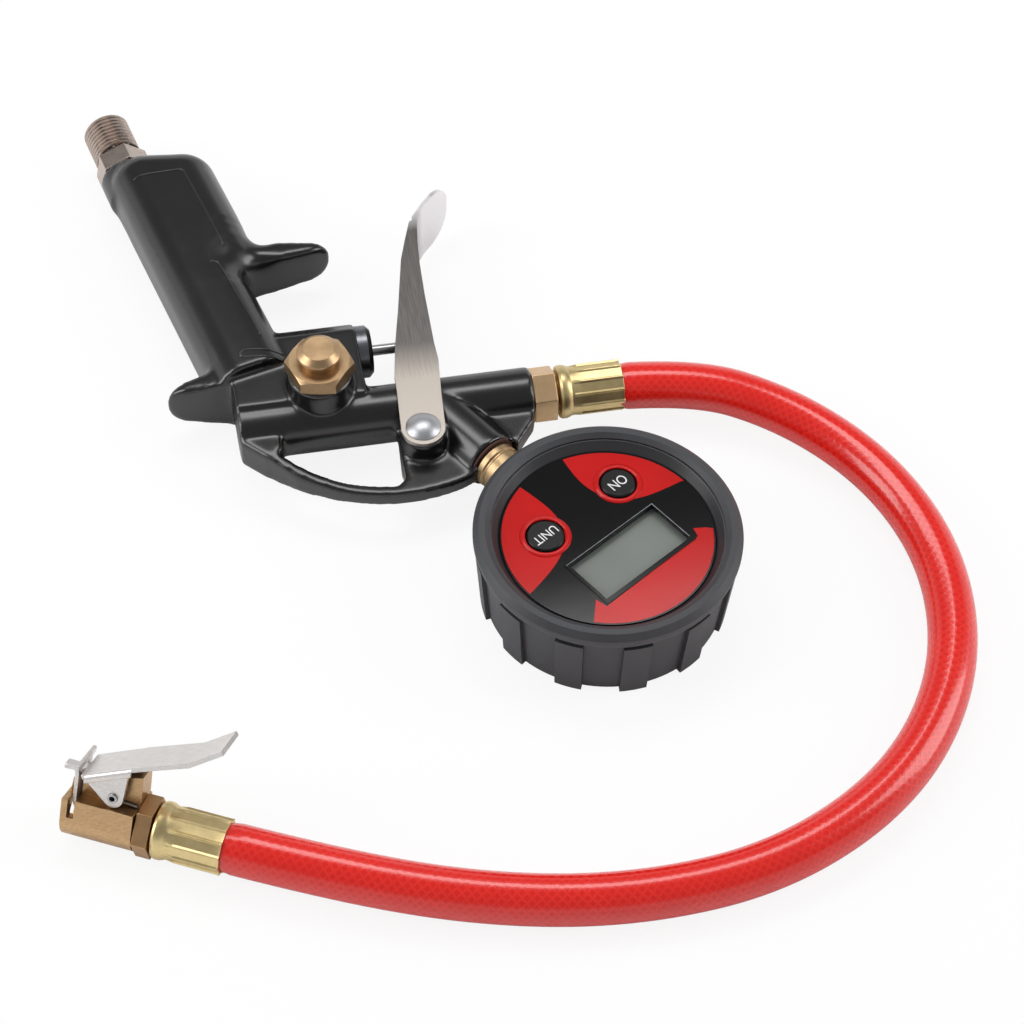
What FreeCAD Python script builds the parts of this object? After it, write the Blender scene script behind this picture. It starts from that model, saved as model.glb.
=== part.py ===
import FreeCAD, Part
import math
import os
from types import SimpleNamespace

import Sketcher

# Tyre inflator gun with a digital gauge, a short hose and a clip-on chuck.
# The frame: the gauge's boot stands on the table at the origin, X runs along the
# gun's barrel towards the hose and Z is up. All sizes are in millimetres.

doc = FreeCAD.newDocument("TyreInflator")
sheet = doc.addObject("Spreadsheet::Sheet", "Sizes")

# Driving dimensions

DIMENSIONS = {
    # clearances shared by every fit
    "running_gap": 0.05,
    "free_gap": 0.3,
    "seat_gap": 0.1,
    # the casting lies with its mid-plane this far above the table
    "mid_height": 12.5,
    # grip: its back edge starts at the heel and leans at the grip angle
    "grip_heel_x": -95.6,
    "grip_heel_y": 74.0,
    "grip_angle": 104.1,
    "grip_depth": 29.2,
    "grip_neck_depth": 22.8,
    "grip_thickness": 25.0,
    "grip_corner": 9.4,
    "grip_step": 36.0,
    "grip_end_x": -96.5,
    "grip_end_y": 158.5,
    "grip_end_angle": -6.6,
    "grip_spare": 97.0,
    "grip_end_round": 7.5,
    # finger guards above and below the neck of the grip
    "guard_half_height": 8.3,
    "guard_tip_half_height": 6.0,
    "guard_tip_round": 5.8,
    # valve block and barrel
    "block_left": -90.0,
    "block_right": -54.0,
    "block_front": 60.0,
    "block_back": 87.6,
    "block_half_height": 9.0,
    "block_bevel_depth": 4.6,
    "block_bevel_height": 3.0,
    "barrel_y": 58.9,
    "barrel_radius": 8.0,
    "barrel_left": -90.0,
    "barrel_right": -9.0,
    "barrel_bore": 3.2,
    "barrel_wall_left": 4.0,
    # bow plate under the barrel, with its window
    "bow_half_height": 2.5,
    "bow_heel_half_height": 5.0,
    "web_half_height": 3.0,
    # trigger pivot
    "rivet_x": -41.3,
    "rivet_y": 44.7,
    "rivet_radius": 2.4,
    "rivet_head_radius": 4.8,
    "rivet_head_height": 1.9,
    "rivet_boss_radius": 6.0,
    # inlet at the grip's end
    "inlet_x": -110.1,
    "inlet_y": 159.4,
    "inlet_angle": 102.7,
    "inlet_collar_radius": 8.0,
    "inlet_collar_length": 10.0,
    "inlet_shank_radius": 4.9,
    "inlet_shank_length": 8.0,
    "inlet_hex": 14.0,
    "inlet_hex_clock": 41.0,
    "inlet_hex_length": 6.0,
    "inlet_neck_radius": 6.2,
    "inlet_neck_length": 1.4,
    "inlet_thread_radius": 6.8,
    "inlet_thread_length": 12.4,
    "inlet_bore": 3.6,
    "passage_radius": 3.0,
    # air valve in the block
    "valve_y": 82.0,
    "valve_bore": 5.5,
    "valve_chamber_radius": 5.0,
    "valve_chamber_end": -84.0,
    "guide_flange_radius": 7.3,
    "guide_flange_length": 4.0,
    "guide_shank_length": 9.0,
    "cross_passage_radius": 1.75,
    "gallery_radius": 4.3,
    "pin_radius": 1.5,
    "poppet_radius": 4.4,
    "seal_thickness": 1.2,
    "valve_spring_radius": 3.2,
    "valve_spring_wire": 0.8,
    # bleed valve on top of the block
    "bleed_x": -66.4,
    "bleed_y": 64.0,
    "bleed_boss_radius": 8.9,
    "bleed_boss_top": 15.3,
    "bonnet_hex": 16.4,
    "bonnet_hex_height": 4.4,
    "bonnet_shank_radius": 5.9,
    "bonnet_floor": 11.5,
    "bleed_seat_height": 5.6,
    "bleed_gasket_thickness": 0.6,
    "bleed_seat_bore": 2.2,
    "button_neck_radius": 4.8,
    "button_rim_radius": 6.0,
    "button_top_radius": 4.25,
    "button_rim_base": 22.3,
    "button_rim_height": 1.0,
    "button_chamfer": 1.45,
    "button_neck_base": 15.5,
    "bleed_stem_radius": 0.95,
    "bleed_disc_radius": 3.1,
    "bleed_spring_radius": 3.4,
    "bleed_spring_wire": 0.6,
    # hose, its fittings and ferrules
    "hose_radius": 6.5,
    "hose_bore": 3.5,
    "hose_crimped_radius": 6.1,
    "barb_valley": 3.0,
    "barb_bore": 2.2,
    "barb_length": 14.5,
    "ferrule_length": 18.0,
    "ferrule_gap": 0.7,
    "ferrule_radius": 6.85,
    "ferrule_collar_radius": 7.4,
    "ferrule_collar_length": 3.0,
    "ferrule_end_wall": 1.0,
    "outlet_hex": 13.5,
    "outlet_hex_length": 6.3,
    "outlet_shank_radius": 5.0,
    "outlet_shank_length": 9.0,
    # gauge port, stem and case
    "stem_angle": 122.0,
    "port_distance": 45.0,
    "port_radius": 8.0,
    "port_thread_radius": 5.15,
    "port_thread_length": 9.0,
    "stem_collar_radius": 6.5,
    "stem_washer_radius": 7.3,
    "stem_washer_thickness": 0.6,
    "stem_inner_radius": 4.0,
    "stem_inner_end": 22.0,
    "stem_bore": 1.2,
    "stem_nut_hex": 11.0,
    "stem_nut_thickness": 2.8,
    "sensor_radius": 3.9,
    "sensor_length": 10.0,
    "boot_wall": 2.2,
    "boot_draft": 1.7,
    "boot_block_depth": 1.1,
    "boot_block_height": 21.0,
    "boot_block_count": 12,
    "boot_block_angle": 12.6,
    "boot_block_start": -4.3,
    "boot_floor": 2.0,
    "boot_top": 27.0,
    "boot_lip_overhang": 1.6,
    "boot_lip_cover": 0.7,
    "case_radius": 31.4,
    "case_wall": 1.8,
    "case_draft": 1.2,
    "case_top": 25.6,
    "front_radius": 28.2,
    "front_height": 22.9,
    "front_wall": 1.5,
    "label_thickness": 0.5,
    "cover_thickness": 2.0,
    "screw_circle": 25.0,
    "screw_boss_radius": 2.8,
    "screw_radius": 1.2,
    "screw_head_radius": 2.2,
    "screw_length": 9.0,
    "lcd_length": 30.5,
    "lcd_width": 15.0,
    "lcd_margin": 1.2,
    "lcd_thickness": 2.6,
    "lcd_x": 4.75,
    "lcd_y": -6.0,
    "pcb_radius": 25.5,
    "pcb_thickness": 1.6,
    "on_x": 6.1,
    "on_y": 16.6,
    "on_radius": 4.75,
    "unit_x": -16.0,
    "unit_y": 2.6,
    "unit_radius": 5.0,
    "key_rise": 0.5,
    "key_height": 3.0,
    "switch_side": 5.0,
    "battery_radius": 10.0,
    "battery_thickness": 3.2,
    "battery_x": 5.0,
    "battery_y": -6.0,
    "contact_thickness": 0.8,
    "holder_wall": 1.5,
    # chuck: its own frame has X along the hose and Z up through the lever
    "chuck_x": -122.8,
    "chuck_y": -59.9,
    "chuck_height": 8.0,
    "chuck_yaw": -26.64,
    "chuck_roll": -29.0,
    "chuck_mouth": -25.0,
    "chuck_rear": -6.4,
    "chuck_half_width": 6.9,
    "chuck_shoulder": 5.7,
    "chuck_bore": 4.1,
    "chuck_lead_radius": 4.35,
    "chuck_bore_end": -16.0,
    "chuck_thread_radius": 4.6,
    "chuck_thread_end": -13.5,
    "seal_bore": 1.8,
    "seal_recess": 0.5,
    "chuck_hex": 14.0,
    "chuck_hex_clock": 11.0,
    "chuck_hex_start": -6.0,
    "chuck_hex_end": -2.0,
    "chuck_ferrule_start": -1.7,
    "rib_near": 2.2,
    "rib_far": 4.4,
    "slot_front": -23.35,
    "slot_rear": -21.55,
    "slot_floor": 0.7,
    "jaw_thickness": 1.0,
    "jaw_half_width": 4.6,
    "jaw_tip": 2.2,
    "pivot_s": -12.4,
    "pivot_h": 8.7,
    "pivot_radius": 1.25,
    "pivot_bore": 0.7,
    "lever_sheet": 1.2,
    "lever_half_width": 5.7,
    "ear_round": 2.6,
    "torsion_radius": 2.0,
    "torsion_wire": 0.7,
    # trigger lever
    "trigger_side_gap": 0.8,
    "trigger_web_gap": 0.7,
    "trigger_sheet": 1.2,
    "trigger_foot_radius": 5.95,
    "trigger_web_x": -33.6,
    "trigger_tip_round": 8.5,
}


class Size:
    """A number now, with the sheet expression that keeps it true later."""

    def __init__(self, number, text):
        self.number = number
        self.text = text

    def join(self, other, sign):
        left, right = self, as_size(other)
        number = {
            "+": lambda a, b: a + b,
            "-": lambda a, b: a - b,
            "*": lambda a, b: a * b,
            "/": lambda a, b: a / b,
        }[sign](left.number, right.number)
        return Size(number, f"({left.text} {sign} {right.text})")

    def __add__(self, other):
        return self.join(other, "+")

    def __radd__(self, other):
        return as_size(other).join(self, "+")

    def __sub__(self, other):
        return self.join(other, "-")

    def __rsub__(self, other):
        return as_size(other).join(self, "-")

    def __mul__(self, other):
        return self.join(other, "*")

    def __rmul__(self, other):
        return as_size(other).join(self, "*")

    def __truediv__(self, other):
        return self.join(other, "/")

    def __neg__(self):
        return Size(-self.number, f"(-1 * {self.text})")


def as_size(value):
    if isinstance(value, Size):
        return value
    return Size(float(value), f"({float(value)})")


def cosine(angle):
    angle = as_size(angle)
    return Size(math.cos(math.radians(angle.number)), f"cos({angle.text})")


def sine(angle):
    angle = as_size(angle)
    return Size(math.sin(math.radians(angle.number)), f"sin({angle.text})")


for row, (name, value) in enumerate(DIMENSIONS.items(), start=1):
    sheet.set(f"A{row}", name)
    sheet.set(f"B{row}", str(value))
    sheet.setAlias(f"B{row}", name)
doc.recompute()
d = SimpleNamespace(**{name: Size(float(value), f"Sizes.{name}") for name, value in DIMENSIONS.items()})


# Sketches and features that every piece is made with

def new_body(label, x=0, y=0, z=0, turn=0, roll=0):
    body = doc.addObject("PartDesign::Body", label)
    body.Label = label
    x, y, z, turn, roll = (as_size(value).text for value in (x, y, z, turn, roll))
    body.setExpression("Placement", f"placement(vector({x}; {y}; {z}); rotation({turn}; 0; {roll}))")
    return body


def origin_plane(body, role):
    return next(item for item in body.Origin.OriginFeatures if item.Role == role)


def new_sketch(body, plane="XY_Plane", offset=None):
    """A sketch on one of the body's own planes, lifted by offset along the plane's normal."""
    count = len([item for item in body.Group if item.TypeId == "Sketcher::SketchObject"])
    sketch = body.newObject("Sketcher::SketchObject", f"{body.Name}_sketch{count}")
    sketch.AttachmentSupport = [(origin_plane(body, plane), "")]
    sketch.MapMode = "FlatFace"
    if offset is not None:
        sketch.setExpression("AttachmentOffset.Base.z", as_size(offset).text)
    return sketch


def flat_sketch(body, x, y, z, angle):
    """A level sketch centred on a point and turned by an angle."""
    sketch = new_sketch(body)
    x, y, z, angle = (as_size(value).text for value in (x, y, z, angle))
    turn = f"rotation(vector(0; 0; 1); {angle})"
    sketch.setExpression("AttachmentOffset", f"placement(vector({x}; {y}; {z}); {turn})")
    return sketch


def end_sketch(body, x, y, z, angle):
    """A sketch square to a level axis: it starts at a point and looks along the angle.
    Its first axis points to the axis's left and its second one up."""
    sketch = new_sketch(body)
    x, y, z, angle = (as_size(value).text for value in (x, y, z, angle))
    turn = f"rotation(vector(0; 0; 1); {angle}) * rotation(vector(1; 1; 1); 120)"
    sketch.setExpression("AttachmentOffset", f"placement(vector({x}; {y}; {z}); {turn})")
    return sketch


def hold_point(sketch, index, position, x, y):
    """Ties one end of a sketched edge to its two coordinates."""
    for kind, value in (("DistanceX", as_size(x)), ("DistanceY", as_size(y))):
        number = sketch.addConstraint(
            Sketcher.Constraint(kind, -1, 1, index, position, value.number))
        sketch.setExpression(f"Constraints[{number}]", value.text)


def draw_outline(sketch, corners):
    """A closed outline through corners (x, y) or (x, y, radius). A radius makes the
    edge to the next corner an arc that bulges to the right of the way there."""
    count = len(corners)
    edges = []
    for index in range(count):
        here, there = corners[index], corners[(index + 1) % count]
        ax, ay = as_size(here[0]).number, as_size(here[1]).number
        bx, by = as_size(there[0]).number, as_size(there[1]).number
        start, end = FreeCAD.Vector(ax, ay, 0), FreeCAD.Vector(bx, by, 0)
        if len(here) == 2:
            edges.append(sketch.addGeometry(Part.LineSegment(start, end)))
            continue
        radius = as_size(here[2]).number
        chord = end - start
        reach = chord.Length / 2
        sagitta = radius - math.sqrt(max(radius * radius - reach * reach, 0))
        right = FreeCAD.Vector(chord.y, -chord.x, 0).normalize()
        middle = start + chord * 0.5 + right * sagitta
        edges.append(sketch.addGeometry(Part.Arc(start, middle, end)))
    for index in range(count):
        previous = index - 1
        end_of_previous = 2
        start_of_this = 1
        if len(corners[previous]) == 3 and not runs_forward(sketch, edges[previous], corners[previous]):
            end_of_previous = 1
        if len(corners[index]) == 3 and not runs_forward(sketch, edges[index], corners[index]):
            start_of_this = 2
        sketch.addConstraint(Sketcher.Constraint(
            "Coincident", edges[previous], end_of_previous, edges[index], start_of_this))
        hold_point(sketch, edges[index], start_of_this, corners[index][0], corners[index][1])
        if len(corners[index]) == 3:
            hold_arc(sketch, edges[index], corners[index], corners[(index + 1) % count])
    return sketch


def hold_arc(sketch, edge, here, there):
    """Holds an arc whose ends are held already: by its radius, or, where it is a half
    circle, by its centre, which then lies midway between the ends."""
    radius = as_size(here[2])
    across = as_size(there[0]).number - as_size(here[0]).number
    up = as_size(there[1]).number - as_size(here[1]).number
    if math.hypot(across, up) < 1.999 * radius.number:
        number = sketch.addConstraint(Sketcher.Constraint("Radius", edge, radius.number))
        sketch.setExpression(f"Constraints[{number}]", radius.text)
        return
    axis = 1 if abs(across) > abs(up) else 0
    middle = (as_size(here[axis]) + there[axis]) / 2
    kind = "DistanceY" if axis else "DistanceX"
    number = sketch.addConstraint(Sketcher.Constraint(kind, -1, 1, edge, 3, middle.number))
    sketch.setExpression(f"Constraints[{number}]", middle.text)


def runs_forward(sketch, edge, corner):
    """An arc in a sketch always runs anticlockwise, so its first end may be the far one."""
    first = sketch.getPoint(edge, 1)
    gap = math.hypot(first.x - as_size(corner[0]).number, first.y - as_size(corner[1]).number)
    return gap < 1e-6


def draw_circle(sketch, x, y, radius):
    x, y, radius = as_size(x), as_size(y), as_size(radius)
    centre = FreeCAD.Vector(x.number, y.number, 0)
    circle = sketch.addGeometry(Part.Circle(centre, FreeCAD.Vector(0, 0, 1), radius.number))
    hold_point(sketch, circle, 3, x, y)
    number = sketch.addConstraint(Sketcher.Constraint("Radius", circle, radius.number))
    sketch.setExpression(f"Constraints[{number}]", radius.text)
    return sketch


def draw_hexagon(sketch, across_flats, turn=0, x=0, y=0):
    reach = as_size(across_flats) / math.sqrt(3)
    corners = []
    for step in range(6):
        angle = as_size(turn) + 60 * step
        corners.append((as_size(x) + reach * cosine(angle), as_size(y) + reach * sine(angle)))
    return draw_outline(sketch, corners)


def draw_rectangle(sketch, left, bottom, right, top):
    return draw_outline(sketch, [(left, bottom), (right, bottom), (right, top), (left, top)])


def draw_rounded_rectangle(sketch, left, bottom, right, top, corner):
    left, bottom, right, top = (as_size(value) for value in (left, bottom, right, top))
    return draw_outline(sketch, [
        (left + corner, bottom), (right - corner, bottom, corner),
        (right, bottom + corner), (right, top - corner, corner),
        (right - corner, top), (left + corner, top, corner),
        (left, top - corner), (left, bottom + corner, corner),
    ])


def pad(body, sketch, length, both_ways=False, back=False):
    feature = body.newObject("PartDesign::Pad", f"{body.Name}_pad")
    feature.Profile = sketch
    feature.setExpression("Length", as_size(length).text)
    feature.SideType = "Symmetric" if both_ways else "One side"
    feature.Reversed = back
    return feature


def pocket(body, sketch, length, both_ways=False, forward=True):
    """Cuts along the sketch's own normal unless forward is False."""
    feature = body.newObject("PartDesign::Pocket", f"{body.Name}_pocket")
    feature.Profile = sketch
    feature.setExpression("Length", as_size(length).text)
    feature.SideType = "Symmetric" if both_ways else "One side"
    feature.Reversed = forward
    return feature


def spin(body, sketch, axis):
    feature = body.newObject("PartDesign::Revolution", f"{body.Name}_turning")
    feature.Profile = sketch
    feature.ReferenceAxis = (sketch, [axis])
    feature.Angle = 360
    return feature


def spin_cut(body, sketch, axis):
    feature = body.newObject("PartDesign::Groove", f"{body.Name}_groove")
    feature.Profile = sketch
    feature.ReferenceAxis = (sketch, [axis])
    feature.Angle = 360
    return feature


def round_edges(body, radius, test):
    """Rounds the edges of the body so far whose midpoint, start and end pass the test."""
    doc.recompute()
    base = body.Tip
    names = []
    for number, edge in enumerate(base.Shape.Edges, start=1):
        middle = edge.valueAt((edge.FirstParameter + edge.LastParameter) / 2)
        if len(edge.Vertexes) == 2 and test(middle, edge.Vertexes[0].Point, edge.Vertexes[1].Point):
            names.append(f"Edge{number}")
    assert names, f"no edge to round on {body.Label}"
    feature = body.newObject("PartDesign::Fillet", f"{body.Name}_fillet")
    feature.Base = (base, names)
    feature.setExpression("Radius", as_size(radius).text)
    return feature


def turned_upright(label, profile, **place):
    """A turned piece about its own upright axis. The profile's corners are (radius, height)."""
    body = new_body(label, **place)
    spin(body, draw_outline(new_sketch(body, "XZ_Plane"), profile), "V_Axis")
    return body


def turned_level(label, profile, **place):
    """A turned piece about its own X axis. The profile's corners are (distance, radius)."""
    body = new_body(label, **place)
    spin(body, draw_outline(new_sketch(body), profile), "H_Axis")
    return body


def add_bar(body, x, y, angle, radius, length):
    pad(body, draw_circle(end_sketch(body, x, y, 0, angle), 0, 0, radius), length)


def drill(body, x, y, angle, radius, length, z=0):
    pocket(body, draw_circle(end_sketch(body, x, y, z, angle), 0, 0, radius), length)


def drill_down(body, x, y, radius, top, bottom):
    top, bottom = as_size(top), as_size(bottom)
    sketch = draw_circle(new_sketch(body, offset=bottom), x, y, radius)
    pocket(body, sketch, top - bottom)


# Gun casting: the grip, its finger guards, the valve block, the barrel, the bow plate
# with its window, and the bosses for the inlet, bleed valve, rivet and gauge.

def make_gun_body():
    body = new_body("gun_body", z=d.mid_height)
    across_x, across_y = sine(d.grip_angle), -cosine(d.grip_angle)
    along_x, along_y = cosine(d.grip_angle), sine(d.grip_angle)

    def grip_bar(start, depth, length):
        section = end_sketch(body, d.grip_heel_x + along_x * start, d.grip_heel_y + along_y * start,
                             0, d.grip_angle)
        draw_rounded_rectangle(section, -depth, d.grip_thickness / -2, 0, d.grip_thickness / 2,
                               d.grip_corner)
        pad(body, section, length)

    def trim_end(x, y, angle):
        """Cuts all that lies beyond an upright plane through a point."""
        beyond = draw_rectangle(flat_sketch(body, x, y, 0, angle), -60, 0, 60, 40)
        pocket(body, beyond, d.grip_thickness * 2, both_ways=True)

    grip_bar(d.grip_step, d.grip_depth, d.grip_spare - d.grip_step)
    trim_end(d.grip_end_x, d.grip_end_y, d.grip_end_angle)
    end_x, end_y = d.grip_end_x.number, d.grip_end_y.number
    end_across, end_along = cosine(d.grip_end_angle).number, sine(d.grip_end_angle).number

    def on_end_face(*points):
        return all(abs((point.y - end_y) * end_across - (point.x - end_x) * end_along) < 0.01
                   for point in points)

    round_edges(body, d.grip_end_round, on_end_face)
    grip_bar(as_size(-5), d.grip_neck_depth, d.grip_step + 11)

    trim_end(d.inlet_x, d.inlet_y, d.inlet_angle - 90)
    collar_start = -d.inlet_collar_length
    inlet_along_x, inlet_along_y = cosine(d.inlet_angle), sine(d.inlet_angle)
    add_bar(body, d.inlet_x + inlet_along_x * collar_start, d.inlet_y + inlet_along_y * collar_start,
            d.inlet_angle, d.inlet_collar_radius, d.inlet_collar_length)

    upper_guard = [(-88, 123.5), (-88, 111.5), (-80.1, 112.8), (-70.9, 114.0), (-61.3, 116.0),
                   (-56.4, 118.0), (-56.4, 119.5), (-68.0, 120.7), (-79.5, 121.3)]
    lower_guard = [(-88, 76.5), (-97, 75.2), (-103, 73.8), (-107.9, 72.2), (-107.9, 70.6),
                   (-103, 69.6), (-97, 69.2), (-88, 69.0)]
    guards = ((upper_guard, -80.0, -56.4, 125), (lower_guard, -94.0, -107.9, 79))
    for outline, root, tip, back in guards:
        pad(body, draw_outline(new_sketch(body), outline), d.guard_half_height * 2, both_ways=True)
        for side in (1, -1):
            taper = new_sketch(body, "XZ_Plane", offset=-back)
            full, low = d.guard_half_height * side, d.guard_tip_half_height * side
            beyond = tip * 2 - root
            draw_outline(taper, [(root, full), (tip, low), (beyond, low), (beyond, full * 1.2),
                                 (root, full * 1.2)][::side])
            pocket(body, taper, 15)
        round_edges(body, d.guard_tip_round, lambda middle, first, last, tip=tip:
                    max(abs(first.x - tip), abs(last.x - tip)) < 0.01 and abs(first.z - last.z) < 0.01)

    block = end_sketch(body, d.block_left, 0, 0, 0)
    bevel_y = d.block_back - d.block_bevel_depth
    bevel_z = d.block_half_height - d.block_bevel_height
    draw_outline(block, [
        (d.block_front, -d.block_half_height), (bevel_y, -d.block_half_height),
        (d.block_back, -bevel_z), (d.block_back, bevel_z),
        (bevel_y, d.block_half_height), (d.block_front, d.block_half_height),
    ])
    pad(body, block, d.block_right - d.block_left)

    bow = draw_outline(new_sketch(body), [
        (d.barrel_left, d.barrel_y), (d.barrel_left, 53.5), (-81.5, 43.7), (-76.6, 38.6, 62),
        (-54.0, 29.3, 90), (-28.1, 32.5), (-21.0, 38.0), (-30.0, d.barrel_y)])
    pad(body, bow, d.bow_half_height * 2, both_ways=True)
    heel = draw_outline(new_sketch(body), [
        (d.barrel_left, d.barrel_y), (d.barrel_left, 51.5), (-83.6, 45.2), (-78.9, 47.5),
        (-78.7, d.barrel_y)])
    pad(body, heel, d.bow_heel_half_height * 2, both_ways=True)
    window = draw_outline(new_sketch(body), [
        (-78.7, d.barrel_y), (-78.7, 44.9), (-70.9, 38.9), (-62.9, 34.8), (-54.8, 32.6),
        (-50.0, 32.2), (-47.6, 34.6), (-47.6, d.barrel_y)])
    pocket(body, window, d.bow_heel_half_height * 2 + 2, both_ways=True)
    web = draw_outline(new_sketch(body), [
        (-36.8, d.barrel_y), (-27.0, 40.0), (-16.0, 40.6), (-10.1, 48.3), (d.barrel_right, 54.7),
        (d.barrel_right, d.barrel_y)])
    pad(body, web, d.web_half_height * 2, both_ways=True)
    port_x, port_y = cosine(d.stem_angle), sine(d.stem_angle)
    before_port = flat_sketch(body, port_x * d.port_distance, port_y * d.port_distance, 0, d.stem_angle)
    washer_reach = d.stem_washer_radius + d.free_gap
    draw_rectangle(before_port, -15, -washer_reach, 0, 15)
    pocket(body, before_port, d.web_half_height * 4, both_ways=True)

    add_bar(body, d.barrel_left, d.barrel_y, 0, d.barrel_radius, d.barrel_right - d.barrel_left)
    to_barrel = d.barrel_y / port_y
    add_bar(body, port_x * d.port_distance, port_y * d.port_distance, d.stem_angle,
            d.port_radius, to_barrel - d.port_distance)
    boss = draw_circle(new_sketch(body), d.rivet_x, d.rivet_y, d.rivet_boss_radius)
    ear_inside = d.barrel_radius + d.trigger_side_gap
    pad(body, boss, (ear_inside - d.free_gap) * 2, both_ways=True)
    bleed_boss = draw_circle(new_sketch(body), d.bleed_x, d.bleed_y, d.bleed_boss_radius)
    pad(body, bleed_boss, d.bleed_boss_top)

    drill(body, d.inlet_x, d.inlet_y, d.inlet_angle + 180, d.inlet_shank_radius + d.running_gap,
          d.inlet_shank_length + 1)
    socket_x = d.inlet_x - inlet_along_x * d.inlet_shank_length
    socket_y = d.inlet_y - inlet_along_y * d.inlet_shank_length
    chamber_x = d.valve_chamber_end + d.passage_radius + 1
    run_x, run_y = (chamber_x - socket_x).number, (d.valve_y - socket_y).number
    drill(body, socket_x, socket_y, math.degrees(math.atan2(run_y, run_x)), d.passage_radius,
          math.hypot(run_x, run_y))
    drill(body, d.block_right, d.valve_y, 180, d.valve_bore, d.guide_shank_length + d.seat_gap)
    drill(body, d.block_right, d.valve_y, 180, d.valve_chamber_radius,
          d.block_right - d.valve_chamber_end)
    drill(body, cross_passage_x(), d.valve_y, -90, d.cross_passage_radius, d.valve_y - d.barrel_y)
    drill(body, d.barrel_left + d.barrel_wall_left, d.barrel_y, 0, d.barrel_bore,
          d.barrel_right - d.barrel_left)
    drill(body, d.barrel_right, d.barrel_y, 180, d.outlet_shank_radius + d.running_gap,
          d.outlet_shank_length + 1)
    drill(body, port_x * d.port_distance, port_y * d.port_distance, d.stem_angle,
          d.port_thread_radius + d.running_gap, d.port_thread_length + 1)
    drill(body, port_x * d.port_distance, port_y * d.port_distance, d.stem_angle,
          d.cross_passage_radius, to_barrel - d.port_distance)
    drill_down(body, d.bleed_x, d.bleed_y, d.bonnet_shank_radius + d.running_gap,
               d.bleed_boss_top, d.bleed_seat_height - d.bleed_gasket_thickness)
    drill_down(body, d.bleed_x, d.bleed_y, d.bleed_disc_radius + 0.6, d.bleed_seat_height, 0.5)
    rivet_hole = draw_circle(new_sketch(body), d.rivet_x, d.rivet_y, d.rivet_radius + 0.02)
    pocket(body, rivet_hole, ear_inside * 2, both_ways=True)
    return body


def cross_passage_x():
    """The passage from the valve down to the barrel, halfway along the guide's gallery."""
    return d.block_right - d.guide_shank_length + 3.5


# Inlet nipple: a steel hexagon with a tapered pipe thread for the air line.

def make_inlet_adapter():
    thread_start = d.inlet_hex_length + d.inlet_neck_length
    tip = thread_start + d.inlet_thread_length
    body = turned_level("inlet_adapter", [
        (-d.inlet_shank_length, 0), (tip, 0),
        (tip, d.inlet_thread_radius - 1), (tip - 1, d.inlet_thread_radius),
        (thread_start, d.inlet_thread_radius), (thread_start, d.inlet_neck_radius),
        (d.inlet_hex_length / 2, d.inlet_neck_radius), (d.inlet_hex_length / 2, d.inlet_shank_radius),
        (-d.inlet_shank_length, d.inlet_shank_radius),
    ], x=d.inlet_x, y=d.inlet_y, z=d.mid_height, turn=d.inlet_angle)
    hexagon = draw_hexagon(end_sketch(body, 0, 0, 0, 0), d.inlet_hex, d.inlet_hex_clock)
    pad(body, hexagon, d.inlet_hex_length)
    bore = draw_circle(end_sketch(body, -d.inlet_shank_length, 0, 0, 0), 0, 0, d.inlet_bore)
    pocket(body, bore, tip + d.inlet_shank_length)
    return body


# Air valve: a brass guide screwed into the block, the pin that the trigger pushes,
# its poppet with a rubber seal, the pin's ring seal and the return spring.

def make_valve():
    place = {"x": d.block_right, "y": d.valve_y, "z": d.mid_height}
    shank = d.valve_bore - d.running_gap
    seat = -d.guide_shank_length
    bore = d.pin_radius + d.running_gap
    ring_outer = d.pin_radius + 1.15
    guide = turned_level("valve_guide", [
        (d.guide_flange_length, bore), (d.guide_flange_length, d.guide_flange_radius - 1.2),
        (d.guide_flange_length - 1.2, d.guide_flange_radius), (0, d.guide_flange_radius),
        (0, shank), (-3.2, shank), (-3.8, d.gallery_radius), (seat + 1.8, d.gallery_radius),
        (seat + 1.2, shank), (seat, shank), (seat, 3.0), (-3.8, 3.0), (-3.8, bore),
        (-2.9, bore), (-2.9, ring_outer), (-1.6, ring_outer), (-1.6, bore),
    ], **place)
    cross = draw_circle(new_sketch(guide), seat + 3.5, 0, 0.9)
    pocket(guide, cross, shank * 2, both_ways=True)
    ring_radius = (ring_outer - bore) / 2
    turned_level("pin_seal", [
        (-2.25 - ring_radius, bore + ring_radius, ring_radius),
        (-2.25 + ring_radius, bore + ring_radius, ring_radius),
    ], **place)
    seal_face = seat - d.seat_gap
    collar = seal_face - d.seal_thickness
    turned_level("poppet_seal", [
        (seal_face, d.pin_radius + 0.02), (seal_face, d.poppet_radius),
        (collar, d.poppet_radius), (collar, d.pin_radius + 0.02),
    ], **place)
    web_inside = d.trigger_web_x - d.trigger_sheet - d.block_right
    tip = web_inside - d.free_gap
    turned_level("valve_pin", [
        (tip, 0), (tip, d.pin_radius - 0.4), (tip - 0.4, d.pin_radius), (collar, d.pin_radius),
        (collar, d.poppet_radius), (collar - 2, d.poppet_radius),
        (collar - 2, d.valve_spring_radius - d.valve_spring_wire),
        (collar - 4, d.valve_spring_radius - d.valve_spring_wire), (collar - 4, 0),
    ], **place)
    spring_start = d.valve_chamber_end - d.block_right
    length = collar - 2 - spring_start
    spring = coil("valve_spring", d.valve_spring_radius, d.valve_spring_wire, length, 6)
    spring.Placement = level_placement(
        (d.block_right + spring_start).number, d.valve_y.number, d.mid_height.number)


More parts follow.
